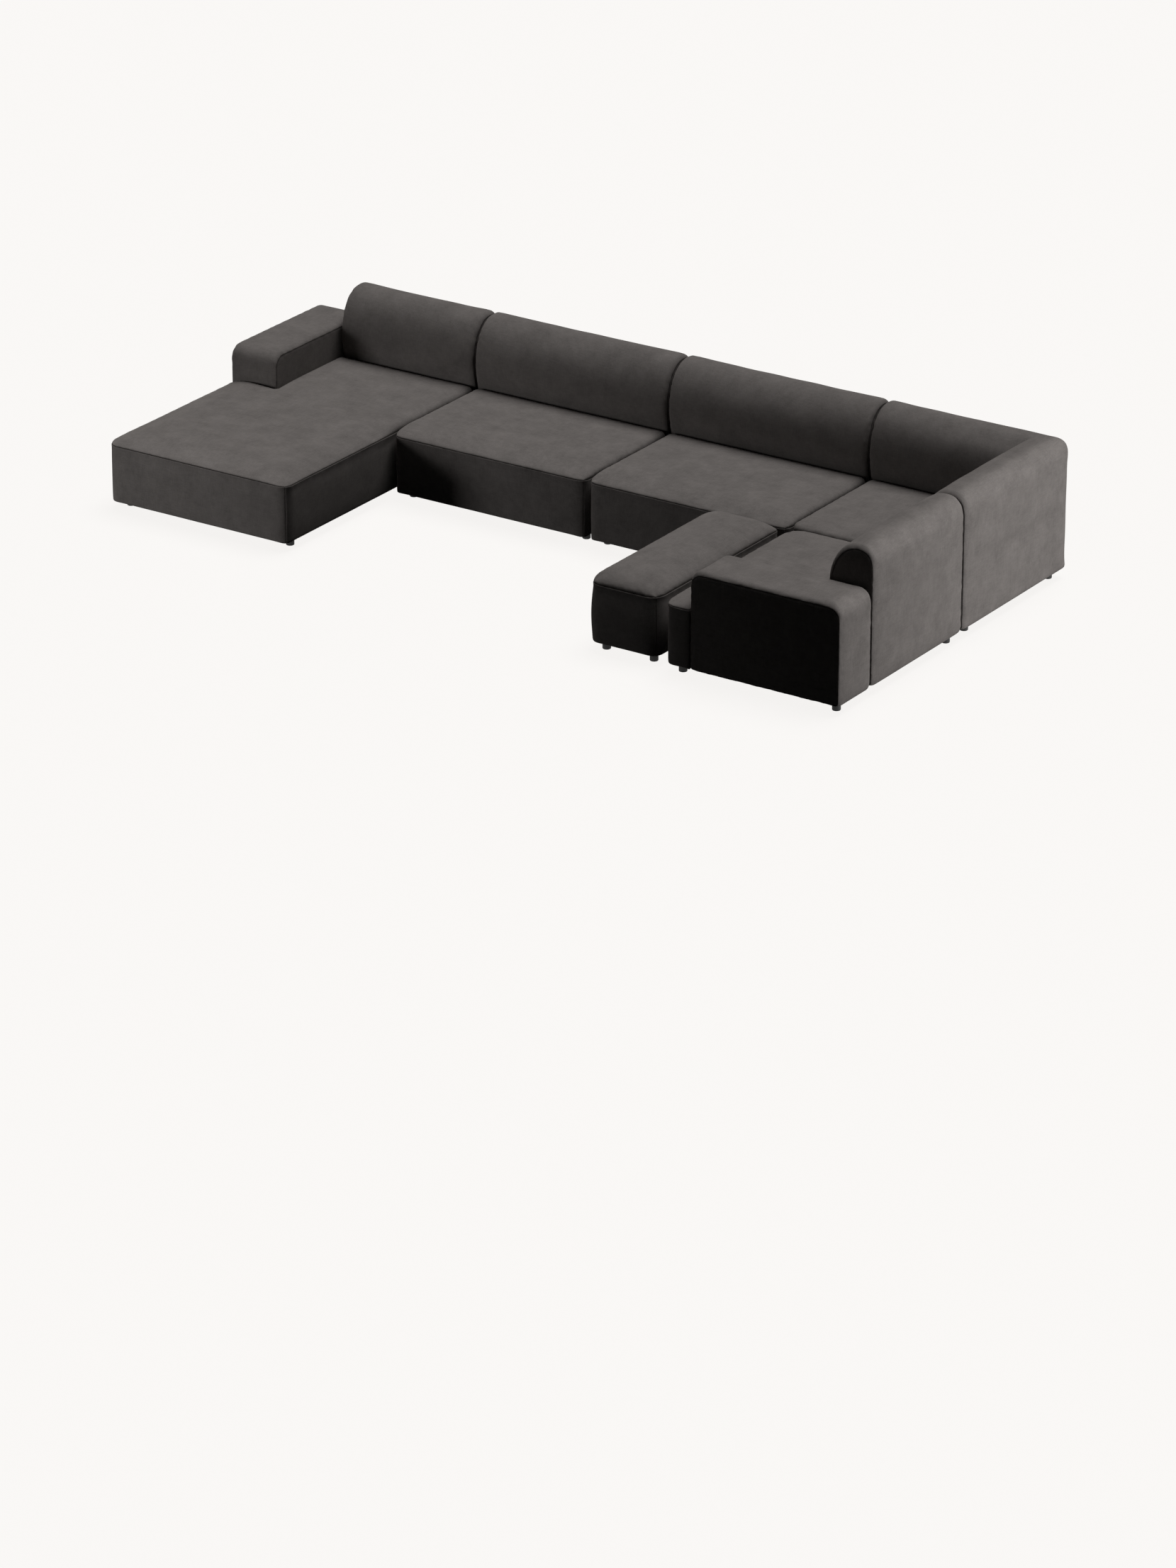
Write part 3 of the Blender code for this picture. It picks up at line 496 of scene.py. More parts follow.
armShape = {
    "topRadius": 0.060,
    "bottomRadius": 0.006,
    "arcPoints": (10, 24),     # in the bottom and the top corners
    "spacing": 0.020,
    "give": 0.004,
    "droop": 0.0,
    "edgeShares": (0.35, 0.40, 0.35, 0.95),
}
endShape = {
    # the rounding from the outer faces to the end panel goes this far along the block, and across it
    # by the shares of a block's edgeShares at its rear, front, bottom and top
    "radius": 0.030,
    "droopReach": 0.035,
    "angles": (70, 58, 45, 32, 20, 9),
    "grooveIn": 0.0034,        # the seam's depth from the end plane
    "grooveInset": 0.0228,
    "panelIn": 0.0012,
    "panelLip": 0.0010,
    "panelBorder": (0.0210, 0.0090, 0.0018),
    "panelRings": 7,
    "panelGive": 0.0006,
    "rearReach": -0.130,       # what lies farther forward than this may stand against a seat
    "fanReach": 0.450,         # where the corner unit's sections begin to fan out
    "fanRows": 20,
    "cornerSteps": (0.095, 0.068, 0.050, 0.034, 0.017, 0.0),   # its last rows, as shares of the fan
    "outerCorner": 0.014,      # upright rear corner of the corner unit
}
blockCloth = {
    "panelSeamShade": 0.5,          # how much of the seam's painted shade the ring inside it has
    "panelEdge": 0.6,          # how much the outermost rings of a panel pucker
    "panelHeld": 0.95,
    "heldStart": 1.2,          # held falls from this to nothing over the reach beside an end
    "heldReach": 0.05,
    "edgeFade": 0.03,          # over which the puckers beside an end fade
    "tightGive": 0.001,        # at an end, growing with the distance from it
    "giveSlope": 0.03,
    "undersideTight": (0.09, 0.03),   # height under which the cloth is tight, and the run to there
    "frontTight": (0.43, 0.05),       # the same for the front, which stands against the seat
    "tightShare": 0.9,         # how much less it gives there
}


def arc(centre, radius, start, end, count):
    # points on a circle, angles in degrees
    angle = np.radians(np.linspace(start, end, count))
    return np.column_stack([centre[0] + radius * np.cos(angle), centre[1] + radius * np.sin(angle)])


def evenly(outline, spacing):
    # the closed outline again, with points at equal steps of its length
    closed = np.vstack([outline, outline[:1]])
    length = np.concatenate([[0.0], np.cumsum(np.linalg.norm(np.diff(closed, axis=0), axis=1))])
    steps = np.arange(0, length[-1] - spacing / 2, length[-1] / round(length[-1] / spacing))
    return np.column_stack([np.interp(steps, length, closed[:, axis]) for axis in (0, 1)])


def superArc(corner, reach, power, start, end, count=60):
    # quarter of a superellipse round the corner point, angles in degrees
    angle = np.radians(np.linspace(start, end, count))
    return np.column_stack([corner[0] + reach[0] * np.abs(np.cos(angle)) ** (2 / power),
                            corner[1] + reach[1] * np.abs(np.sin(angle)) ** (2 / power)])


def backOutline(low, high):
    # side view as (distance from the rear face, height), clockwise from the rear bottom corner
    shape = backShape
    bottom, top, radius = low[2], high[2], shape["bottomRadius"]
    shoulder, topDepth, bulgeHeight = shape["shoulder"], shape["topDepth"], shape["bulgeHeight"]
    rearShoulder = superArc((topDepth, top - shoulder), (-topDepth, shoulder), shape["rearPower"], 0, 90)
    # from 89 degrees, since the rear shoulder ends on the same point
    frontShoulder = superArc((topDepth, bulgeHeight), (shape["bulgeDepth"] - topDepth, top - bulgeHeight),
                             shape["frontPower"], 89, 0)
    height = np.linspace(bulgeHeight - shape["frontStep"], shape["footHeight"], shape["frontPoints"])
    below = np.column_stack([frontDepth(height), height])
    rearCorner = arc((radius, bottom + radius), radius, 270, 180, shape["arcPoints"])
    frontCorner = arc((shape["footDepth"] - radius, bottom + radius), radius, 0, -90, shape["arcPoints"])
    return np.vstack([rearCorner, rearShoulder, frontShoulder, below, frontCorner])


def armOutline(low, high):
    # rounded rectangle as (distance from the rear face, height), clockwise like the back's
    length, bottom, top = high[1] - low[1], low[2], high[2]
    small, large = armShape["bottomRadius"], armShape["topRadius"]
    few, many = armShape["arcPoints"]
    return np.vstack([arc((small, bottom + small), small, 270, 180, few),
                      arc((large, top - large), large, 180, 90, many),
                      arc((length - large, top - large), large, 90, 0, many),
                      arc((length - small, bottom + small), small, 0, -90, few)])


def shrunk(outline, inset, shares):
    # the outline drawn in by the inset times the share of each side, as a plain scaling
    rear, front, bottom, top = shares
    low, high = outline.min(axis=0), outline.max(axis=0)
    inset = np.reshape(inset, (-1, 1, 1))
    newLow, newHigh = low + inset * [rear, bottom], high - inset * [front, top]
    return newLow + (outline - low) * (newHigh - newLow) / (high - low)


def endRings(outline, shape):
    # rings of one end from round the panel's middle out to the last inset section, as points of
    # (distance from the end plane, depth, height)
    radius, groove, shares = endShape["radius"], endShape["grooveInset"], shape["edgeShares"]
    swing = np.radians(endShape["angles"])
    roundedPlaces = np.append(endShape["grooveIn"], radius * (1 - np.sin(swing)))
    droop = shape["droop"] * np.exp(-roundedPlaces / endShape["droopReach"])
    rounded = shrunk(outline, np.append(groove, radius * (1 - np.cos(swing))) + droop, shares)
    border = shrunk(outline, np.array(endShape["panelBorder"]) + groove + droop[0], shares)
    middle = (border[0].min(axis=0) + border[0].max(axis=0)) / 2
    scales = np.linspace(0.0, 1.0, endShape["panelRings"] + 1)[1:-1, None, None]
    plans = np.concatenate([middle + (border[0] - middle) * scales, border, rounded])
    panelCount = len(plans) - len(rounded)
    places = np.full(len(plans), endShape["panelIn"])
    places[panelCount - 1] += endShape["panelLip"]
    places[panelCount:] = roundedPlaces
    points = np.concatenate([np.repeat(places[:, None], len(outline), axis=1)[..., None], plans], axis=2)
    return points, panelCount


def bodyRings(outline, shape, places, near):
    # the outline at each place along the block, drawn in a little where an end is near
    drawn = shrunk(outline, shape["droop"] * np.exp(-near / endShape["droopReach"]), shape["edgeShares"])
    return np.concatenate([np.broadcast_to(places[:, None, None], (*drawn.shape[:2], 1)), drawn], axis=2)


def makeBlock(name, unit, rings, panelCount, places, most):
    # rings from one panel's middle to the other's, in the unit's frame; places are the distances
    # along the block from the nearer end, and most is how far the cloth may stand proud
    count, size = rings.shape[:2]
    poles = np.array([rings[0].mean(axis=0), rings[-1].mean(axis=0)])
    points = np.concatenate([rings.reshape(-1, 3), poles])
    numbers = np.arange(count * size).reshape(count, size)
    faces = loopFaces(numbers).tolist()
    faces += poleFaces(numbers[0], count * size, turned=True) + poleFaces(numbers[-1], count * size + 1)

    rules = blockCloth
    panel = np.zeros(count, bool)
    panel[:panelCount] = panel[-panelCount:] = True
    # darkening of the panel seams, a painted shade for their grooves
    seam = np.zeros(count)
    seam[panelCount] = seam[-panelCount - 1] = 1.0
    seam[panelCount - 1] = seam[-panelCount] = rules["panelSeamShade"]
    beside = np.zeros(count)
    beside[panelCount - 2:panelCount] = beside[-panelCount:2 - panelCount] = rules["panelEdge"]
    edge = np.where(panel, beside, np.exp(-places / rules["edgeFade"]))
    freed = np.clip(rules["heldStart"] - places / rules["heldReach"], 0.0, 1.0)
    held = np.where(panel, rules["panelHeld"], freed)
    growing = np.minimum(rules["tightGive"] + places * rules["giveSlope"], most)
    give = np.where(panel, endShape["panelGive"], growing)
    seam, edge, held, give = (np.append(np.repeat(row, size), [0.0, 0.0]) for row in (seam, edge, held, give))
    give[-2:] = endShape["panelGive"]

    # the underside and the foot of the front, which stands against the seat, hardly move
    underside, front = (smoothStep((height - points[:, 2]) / run)
                        for height, run in (rules["undersideTight"], rules["frontTight"]))
    tight = np.maximum(underside, front * (points[:, 1] < endShape["rearReach"]))
    return makeCover(name, unit, points, faces, seam, edge, np.maximum(held, tight),
                     give * (1 - rules["tightShare"] * tight))


def makeStraightBlock(unit, node, low, high, outline, shape):
    radius, length = endShape["radius"], high[0] - low[0]
    outline = evenly(outline, shape["spacing"])
    tip, panelCount = endRings(outline, shape)
    inner = length - 2 * radius
    places = np.linspace(0.0, inner, round(inner / shape["spacing"]) + 1) + radius
    body = bodyRings(outline, shape, places, np.minimum(places, length - places))
    farTip = tip[::-1].copy()
    farTip[..., 0] = length - farTip[..., 0]
    rings = np.concatenate([tip, body, farTip])
    along = rings[:, 0, 0]
    nearer = np.minimum(along, length - along)
    local = np.stack([rings[..., 0] + low[0], -rings[..., 1], rings[..., 2]], axis=-1)
    return makeBlock(node + "_cover", unit, local, panelCount, nearer, shape["give"])


def makeStraightBack(unit):
    node = unit["name"] + "_back"
    low, high = localBox(unit, node)
    outline = backOutline(low, high)
    if unit["arm"] == "left":
        low[0] += backShape["armGap"]
    elif unit["arm"]:
        high[0] -= backShape["armGap"]
    return makeStraightBlock(unit, node, low, high, outline, backShape)


def makeArm(unit):
    node = unit["name"] + "_arm"
    low, high = localBox(unit, node)
    return makeStraightBlock(unit, node, low, high, armOutline(low, high), armShape)


def makeCornerBack(unit):
    # one cover over both backs: its sections fan out round the inner corner until one lies on the
    # diagonal, and the other half is the first one mirrored in that diagonal
    shape = endShape
    outline = evenly(backOutline(*localBox(unit, "corner_rear_back")), backShape["spacing"])
    width = unit["width"]
    tip, panelCount = endRings(outline, backShape)
    fanStart = width - shape["fanReach"]
    length = fanStart - shape["radius"]
    places = np.linspace(shape["radius"], fanStart, round(length / backShape["spacing"]) + 1)
    body = bodyRings(outline, backShape, places, places)
    shares = np.append(np.linspace(0.0, 1 - shape["cornerSteps"][0], shape["fanRows"])[1:],
                       1 - np.array(shape["cornerSteps"][1:]))
    fanPlaces = fanStart + (width - outline[:, 0] - fanStart) * shares[:, None]
    fan = np.concatenate([fanPlaces[..., None], np.broadcast_to(outline, (*fanPlaces.shape, 2))], axis=2)
    half = np.concatenate([tip, body, fan])
    near = np.stack([half[..., 0], -half[..., 1], half[..., 2]], axis=-1)
    far = np.stack([width + near[..., 1], near[..., 0] - width, near[..., 2]], axis=-1)[-2::-1]
    rings = np.concatenate([near, far])
    rings[..., 0], rings[..., 1] = roundCorner(rings[..., 0], rings[..., 1], (width, 0.0), (1, 1),
                                               shape["outerCorner"])
    places = half[:, 0, 0]
    return makeBlock("corner_back_cover", unit, rings, panelCount, np.append(places, places[-2::-1]),
                     backShape["give"])


covers = {}
for unit in units.values():
    covers[unit["name"] + "_seat"] = makeSeat(unit)
    if unit["name"] == "corner":
        covers["corner_back"] = makeCornerBack(unit)
    elif unit["name"] != "ottoman":
        covers[unit["name"] + "_back"] = makeStraightBack(unit)
    if unit["arm"]:
        covers[unit["name"] + "_arm"] = makeArm(unit)
print("covers cut:", len(covers))


# the covers are blown up by their foam: a cloth simulation, capped point by point

cloth = {
    "pressure": 3.0,
    "tension": 18.0,           # the shear is half of it
    "bending": 0.6,
    "mass": 0.35,              # of each point
    "air": 1.5,                # drag of the air
    "quality": 5,              # steps per frame
    "frames": 20,
}


def readValues(items, name, width=1):
    values = np.empty(len(items) * width, np.float32)
    items.foreach_get(name, values)
    return values.astype(float).reshape((-1, width) if width > 1 else -1)


def coordinates(mesh):
    return readValues(mesh.vertices, "co", 3)


def pointValues(mesh, name):
    return readValues(mesh.attributes[name].data, "value")


def setCoordinates(mesh, points):
    mesh.vertices.foreach_set("co", points.astype(np.float32).ravel())
    mesh.update()


def simulate(covers):
    for cover in covers:
        modifier = cover.modifiers.new("cloth", "CLOTH")
        settings = modifier.settings
        settings.quality = cloth["quality"]
        settings.mass = cloth["mass"]
        settings.air_damping = cloth["air"]
        settings.tension_stiffness = settings.compression_stiffness = cloth["tension"]
        settings.shear_stiffness = cloth["tension"] / 2
        settings.bending_stiffness = cloth["bending"]
        settings.use_pressure = True
        settings.uniform_pressure_force = cloth["pressure"]
        settings.vertex_group_mass = "held"
        settings.effector_weights.gravity = 0
        modifier.point_cache.frame_end = cloth["frames"]
    scene = bpy.context.scene
    for step in range(1, cloth["frames"] + 1):
        scene.frame_set(step)
    graph = bpy.context.evaluated_depsgraph_get()
    blown = [coordinates(cover.evaluated_get(graph).to_mesh()) for cover in covers]
    for cover, moved in zip(covers, blown):
        # each point keeps its direction and goes at most as far as its give: give * tanh(way / give)
        cover.modifiers.clear()
        points = coordinates(cover.data)
        give = np.maximum(pointValues(cover.data, "give"), 1e-6)[:, None]
        way = moved - points
        length = np.maximum(np.linalg.norm(way, axis=1), 1e-9)[:, None]
        setCoordinates(cover.data, points + way / length * give * np.tanh(length / give))
    scene.frame_set(1)


simulate(list(covers.values()))
print("covers blown up")


# one subdivision, then the unevenness of sewn fabric over foam

uneven = {
    "puckerDepth": 0.0015,     # beside seams
    "puckerLength": 0.038,
    "waveDepth": 0.0011,       # over whole faces
    "waveLength": 0.24,
    "slackGive": 0.004,        # where the cover gives this much, the waves have their full depth
    "leastSlack": 0.15,
}


def applyModifiers(piece):
    graph = bpy.context.evaluated_depsgraph_get()
    mesh = bpy.data.meshes.new_from_object(piece.evaluated_get(graph), preserve_all_data_layers=True,
                                           depsgraph=graph)
    old = piece.data
    piece.modifiers.clear()
    piece.data = mesh
    bpy.data.meshes.remove(old)
    mesh.name = piece.name


def refine(cover, seed):
    modifier = cover.modifiers.new("finer", "SUBSURF")
    modifier.levels = modifier.render_levels = 1
    applyModifiers(cover)
    mesh = cover.data
    points, normals = coordinates(mesh), readValues(mesh.vertex_normals, "vector", 3)
    # depth = pucker * ripple beside seams + wave * slow ripple, the wave less where the cover is tight
    slack = np.clip(pointValues(mesh, "give") / uneven["slackGive"], uneven["leastSlack"], 1.0)
    depth = uneven["puckerDepth"] * pointValues(mesh, "edge") * ripple(points, uneven["puckerLength"], seed)
    depth += uneven["waveDepth"] * slack * ripple(points, uneven["waveLength"], seed + 1)
    setCoordinates(mesh, points + normals * depth[:, None])


for number, cover in enumerate(covers.values()):
    refine(cover, 10 * number)
print("covers refined")


def closeBottoms(cover):
    bm = bmesh.new()
    bm.from_mesh(cover.data)
    bmesh.ops.holes_fill(bm, edges=[edge for edge in bm.edges if edge.is_boundary], sides=0)
    bm.to_mesh(cover.data)
    bm.free()


def boxPiece(name, low, high):
    # a plain box between two corners
    corners = [[(low, high)[i >> axis & 1][axis] for axis in range(3)] for i in range(8)]
    return addPiece(name, corners, [(0, 2, 3, 1), (4, 5, 7, 6), (0, 1, 5, 4), (2, 6, 7, 3), (0, 4, 6, 2),
                                    (1, 3, 7, 5)])


def carve(cover, low, high):
    # the room for a frame: its box with the clearance all round
    cutter = boxPiece(cover.name + "_room", np.array(low) - fit["clearance"],
                      np.array(high) + fit["clearance"])
    modifier = cover.modifiers.new("room", "BOOLEAN")
    modifier.operation, modifier.solver, modifier.object = "DIFFERENCE", "MANIFOLD", cutter
    applyModifiers(cover)
    bpy.data.objects.remove(cutter)


def frameRoom(unit, top):
    # the base frame's plan, from under the upholstery up to the given height
    low, high = frameBox(unit)
    return [*low[:2], low[2] - fit["overrun"]], [*high[:2], top]


for key, cover in covers.items():
    unit = units[key.split("_")[0]]
    name = unit["name"]
    if key.endswith("_seat"):
        closeBottoms(cover)
        under = name + ("_webbing" if name + "_webbing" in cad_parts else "_base_frame")
        carve(cover, *frameRoom(unit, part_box(under)[1][2]))
        continue
    backs = [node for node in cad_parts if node.startswith(name) and node.endswith("_back_frame")]
    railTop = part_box(backs[0])[0][2]
    carve(cover, *frameRoom(unit, railTop))
    if key.endswith("_arm"):
        armLow, armHigh = localBox(unit, key)
        frameLow, frameHigh = localBox(unit, name + "_base_frame")
        inside = fit["wall"] + fit["board"]
        across = (frameLow[0], inside) if unit["arm"] == "left" else (unit["width"] - inside, frameHigh[0])
        corners = toWorld(unit, np.array([(across[0], armLow[1] + fit["armFront"], railTop - fit["overrun"]),
                                          (across[1], frameHigh[1], frameHigh[2])]))
        carve(cover, corners.min(axis=0), corners.max(axis=0))
    else:
        for node in backs:
            low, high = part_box(node)
            carve(cover, [*low[:2], low[2] - fit["overrun"]], high)
print("covers hollowed for their frames")

for cover in covers.values():
    shadeSmooth(cover, fit["sharpAngle"])


# materials

def hexColour(code):
    # sRGB hex to the linear values that Blender's sockets take
    shares = [int(code[i:i + 2], 16) / 255 for i in (1, 3, 5)]
    linear = [share / 12.92 if share <= 0.04045 else ((share + 0.055) / 1.055) ** 2.4 for share in shares]
    return linear + [1.0]


def addNode(tree, kind, settings=None, links=None):
    # settings go to the inputs of that name or number, or else to the node itself
    node = tree.nodes.new(kind)
    for key, value in (settings or {}).items():
        if isinstance(key, int) or key in node.inputs:
            node.inputs[key].default_value = value
        else:
            setattr(node, key, value)
    for key, source in (links or {}).items():
        tree.links.new(source, node.inputs[key])
    return node


def maths(tree, operation, links, settings=None):
    return addNode(tree, "ShaderNodeMath", {"operation": operation, **(settings or {})}, links).outputs[0]


def noiseOf(tree, place, millimetres, detail, roughness=0.5):
    settings = {"Scale": 1000 / millimetres, "Detail": detail, "Roughness": roughness}
    return addNode(tree, "ShaderNodeTexNoise", settings, {"Vector": place}).outputs["Fac"]


def stretched(tree, place, scale):
    # without a scale the place stays as it is
    return place if scale is None else addNode(tree, "ShaderNodeMapping", {"Scale": scale},
                                               {"Vector": place}).outputs["Vector"]


def newMaterial(name):
    material = bpy.data.materials.new(name)
    material.use_nodes = True
    material.node_tree.nodes.clear()
    return material, material.node_tree


fabricLook = {
    "base": "#605c5a",
    # the colour that the seams are darkened towards: painted shade for their grooves
    "seam": "#211e1c",
    "sheen": 0.12,
    "sheenRoughness": 0.5,
    "sheenTint": "#b8b2aa",
    "roughness": 0.9,
    "gloss": 0.03,
    "bump": (0.35, 0.0006),    # strength and depth
    # noises that lighten and darken it: size in millimetres, detail, roughness, share, and how much it
    # is squeezed along each axis
    "noises": (
        (110, 3.0, 0.55, 0.50, None),             # clouds
        (28, 3.0, 0.60, 0.28, None),              # patches
        (2.2, 2.0, 0.50, 0.16, None),             # fibres
        (45, 2.0, 0.50, 0.26, (1.0, 9.0, 9.0)),   # brush marks that cross each other
        (45, 2.0, 0.50, 0.26, (9.0, 1.0, 9.0)),
        (45, 2.0, 0.50, 0.26, (9.0, 9.0, 1.0)),
    ),
}


def makeFabric():
    # brushed microfibre with a short nap: value = 1 + sum of share * (noise - 1/2)
    look = fabricLook
    material, tree = newMaterial("brushed_microfibre")
    place = addNode(tree, "ShaderNodeTexCoord").outputs["Object"]
    light = None
    for size, detail, roughness, amount, squeeze in look["noises"]:
        noise = noiseOf(tree, stretched(tree, place, squeeze), size, detail, roughness)
        part = maths(tree, "MULTIPLY_ADD", {0: noise}, {1: amount, 2: -amount / 2})
        light = part if light is None else maths(tree, "ADD", {0: light, 1: part})
    value = maths(tree, "ADD", {0: light}, {1: 1.0})
    tinted = addNode(tree, "ShaderNodeHueSaturation", {"Color": hexColour(look["base"])},
                     {"Value": value}).outputs["Color"]
    # painted shade: the fabric darkens towards the seam colour in the seams' grooves
    seam = addNode(tree, "ShaderNodeAttribute", {"attribute_name": "seam"}).outputs["Fac"]
    mixed = addNode(tree, "ShaderNodeMix", {"data_type": "RGBA", 7: hexColour(look["seam"])},
                    {0: seam, 6: tinted}).outputs[2]
    strength, depth = look["bump"]
    bump = addNode(tree, "ShaderNodeBump", {"Strength": strength, "Distance": depth}, {"Height": light})
    shader = addNode(tree, "ShaderNodeBsdfPrincipled",
                     {"Roughness": look["roughness"], "Sheen Weight": look["sheen"],
                      "Sheen Roughness": look["sheenRoughness"], "Sheen Tint": hexColour(look["sheenTint"]),
                      "Specular IOR Level": look["gloss"]},
                     {"Base Color": mixed, "Normal": bump.outputs["Normal"]})
    addNode(tree, "ShaderNodeOutputMaterial", links={"Surface": shader.outputs[0]})
    return material


plainLook = {
    "mottle": 30,              # size of the noise in millimetres
    "detail": 4.0,
    "darkest": 0.85,
    "lightest": 1.15,
}


def makePlain(name, code, roughness, metallic=0.0, grain=None):
    # one colour that a fine noise varies a little
    material, tree = newMaterial(name)
    place = addNode(tree, "ShaderNodeTexCoord").outputs["Object"]
    noise = noiseOf(tree, stretched(tree, place, grain), plainLook["mottle"], plainLook["detail"])
    value = addNode(tree, "ShaderNodeMapRange", {3: plainLook["darkest"], 4: plainLook["lightest"]},
                    {0: noise}).outputs[0]
    colour = addNode(tree, "ShaderNodeHueSaturation", {"Color": hexColour(code)}, {"Value": value})
    shader = addNode(tree, "ShaderNodeBsdfPrincipled", {"Roughness": roughness, "Metallic": metallic},
                     {"Base Color": colour.outputs["Color"]})
    addNode(tree, "ShaderNodeOutputMaterial", links={"Surface": shader.outputs[0]})
    return material


def dress(piece, material):
    piece.data.materials.clear()
    piece.data.materials.append(material)


fabric = makeFabric()
grain = (1.0, 1.0, 6.0)
wood = makePlain("bare_pine", "#b98f5e", 0.75, grain=grain)
# painted shade: near black pine for the base frames, where a strip of them shows in the gaps
paintedShadePine = makePlain("painted_shade_pine", "#151413", 0.85, grain=grain)
elastic = makePlain("elastic_webbing", "#242424", 0.95)
steel = makePlain("zinc_plated_steel", "#9a9b9d", 0.4, 1.0)
plastic = makePlain("black_plastic", "#060606", 0.7)
liningCloth = makePlain("black_lining_cloth", "#161616", 0.95)


# feet and linings

footShape = {
    # (radius, height), the heights of the second part measured down from its top
    "sole": ((0.0, 0.0), (0.0178, 0.0), (0.0199, 0.0006), (0.0211, 0.002), (0.0215, 0.005)),
    "neck": ((0.0215, 0.0130), (0.0207, 0.0095), (0.0207, 0.0060), (0.0215, 0.0045), (0.0215, 0.0008),
             (0.0210, 0.0), (0.0, 0.0)),
    "sides": 48,
    "sharpAngle": 35.0,
    "gap": 0.0001,             # between a foot and the lining
}


def turnedFoot(name, centre, profile):
    # the profile (radius, height) swept round the upright axis; its first and last points lie on it
    profile, sides = np.array(profile), footShape["sides"]
    angle = np.linspace(0, 2 * math.pi, sides, endpoint=False)
    inner = profile[1:-1]
    ring = np.stack([np.cos(angle), np.sin(angle)], axis=-1)
    plan = inner[:, None, :1] * ring[None] + np.array(centre)
    points = np.concatenate([plan, np.repeat(inner[:, 1:], sides, axis=1)[..., None]], axis=2).reshape(-1, 3)
    poles = [[*centre, profile[0, 1]], [*centre, profile[-1, 1]]]
    points = np.concatenate([points, poles])
    numbers = np.arange(len(inner) * sides).reshape(len(inner), sides)
    faces = loopFaces(numbers).tolist()
    faces += poleFaces(numbers[0], len(points) - 2, turned=True) + poleFaces(numbers[-1], len(points) - 1)
    piece = addPiece(name, points, faces)
    shadeSmooth(piece, footShape["sharpAngle"])
    return piece


liningShape = {
    "drop": 0.0012,            # from the underside of the base frame to its own
    "thickness": 0.0009,
    "margin": 0.0305,          # from the unit's outer faces
    "cells": 40,
    "ripple": 0.00015,
    "rippleLength": 0.12,
    "seed": 400,
}


def makeLining(unit):
    # a grid pulled tight under the base frame, closed by a second layer above it
    shape = liningShape
    cells, margin = shape["cells"], shape["margin"]
    xs = np.linspace(margin, unit["width"] - margin, cells + 1)
    ys = np.linspace(-unit["depth"] + margin, -margin, cells + 1)
    x, y = (part.ravel() for part in np.meshgrid(xs, ys, indexing="ij"))
    most, places = shape["ripple"], np.column_stack([x, y, np.zeros_like(x)])
    wave = most * ripple(places, shape["rippleLength"], shape["seed"])
    bottom = next(frameBox(unit))[2] - shape["drop"]
    low = np.column_stack([x, y, bottom + np.clip(wave, -most, most) / 2])
    high = low + [0, 0, shape["thickness"]]
    index = np.arange((cells + 1) ** 2).reshape(cells + 1, cells + 1)
    quads = gridFaces(index)
    loop = boundaryLoop(index, None)
    rim = loopFaces(np.array([loop, loop + index.size]))
    faces = np.concatenate([quads[:, ::-1], quads + index.size, rim])
    piece = addPiece(unit["name"] + "_lining", toWorld(unit, np.concatenate([low, high])), faces.tolist())
    dress(piece, liningCloth)
    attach(piece, unit["body"])


for unit in units.values():
    makeLining(unit)
    footTop = next(frameBox(unit))[2] - liningShape["drop"] - footShape["gap"]
    profile = list(footShape["sole"]) + [(radius, footTop - down) for radius, down in footShape["neck"]]
    for node in [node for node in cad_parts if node.startswith(unit["name"] + "_foot_")]:
        low, high = (np.array(corner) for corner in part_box(node))
        foot = turnedFoot(node + "_turned", (low[:2] + high[:2]) / 2, profile)
        dress(foot, plastic)
        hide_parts(node)
        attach(foot, unit["body"])
print("feet and linings made")

# the base frames are made near black, a painted shade, since a strip of them shows beside each arm
nodeLooks = {"base_frame": paintedShadePine, "back_frame": wood, "webbing": elastic, "link_bar": steel}
for node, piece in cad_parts.items():
    for ending, material in nodeLooks.items():
        if node.endswith(ending):
            dress(piece, material)

for key, cover in covers.items():
    unit = units[key.split("_")[0]]
    nodes = ("corner_rear_back", "corner_side_back") if key == "corner_back" else (key,)
    dress(cover, fabric)
    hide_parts(*nodes)
    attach(cover, unit["body"])


# floor, world, lights and camera

studio = {
    "pale": "#faf8f6",
    "floorSize": 80.0,
    "floorShadow": 0.06,       # how far a full shadow darkens the pale floor
    "floorBounce": 0.008,      # how light the floor and the world are for what the camera doesn't see
    "worldBounce": 0.007,
    "camera": (16.9406, -25.2897, 12.0227),
    "heading": 33.6046,        # degrees to the left of straight ahead, and down
    "down": 23.6209,
    "lens": 148.64,
    "sensor": 36.0,
    "clipEnd": 200.0,
    "sunFrom": (0.10, 0.25, 1.0),
    "sunAngle": 36.0,
    "sunStrength": 3.05,
    "softboxes": (
        # name, place, target, width, height, spread in degrees, power
        ("right", (4.9, 0.85, 0.60), (0.0, 0.65, 0.40), 3.2, 0.9, 180.0, 114.0),
        ("left_front", (-3.6, -4.6, 0.90), (-2.1, -1.4, 0.25), 1.4, 1.0, 66.0, 13.2),
    ),
}


def seenByCamera(tree):
    # 1 for camera, glossy and transmission rays
    path = addNode(tree, "ShaderNodeLightPath").outputs
    seen = maths(tree, "MAXIMUM", {0: path["Is Camera Ray"], 1: path["Is Glossy Ray"]})
    return maths(tree, "MAXIMUM", {0: seen, 1: path["Is Transmission Ray"]})


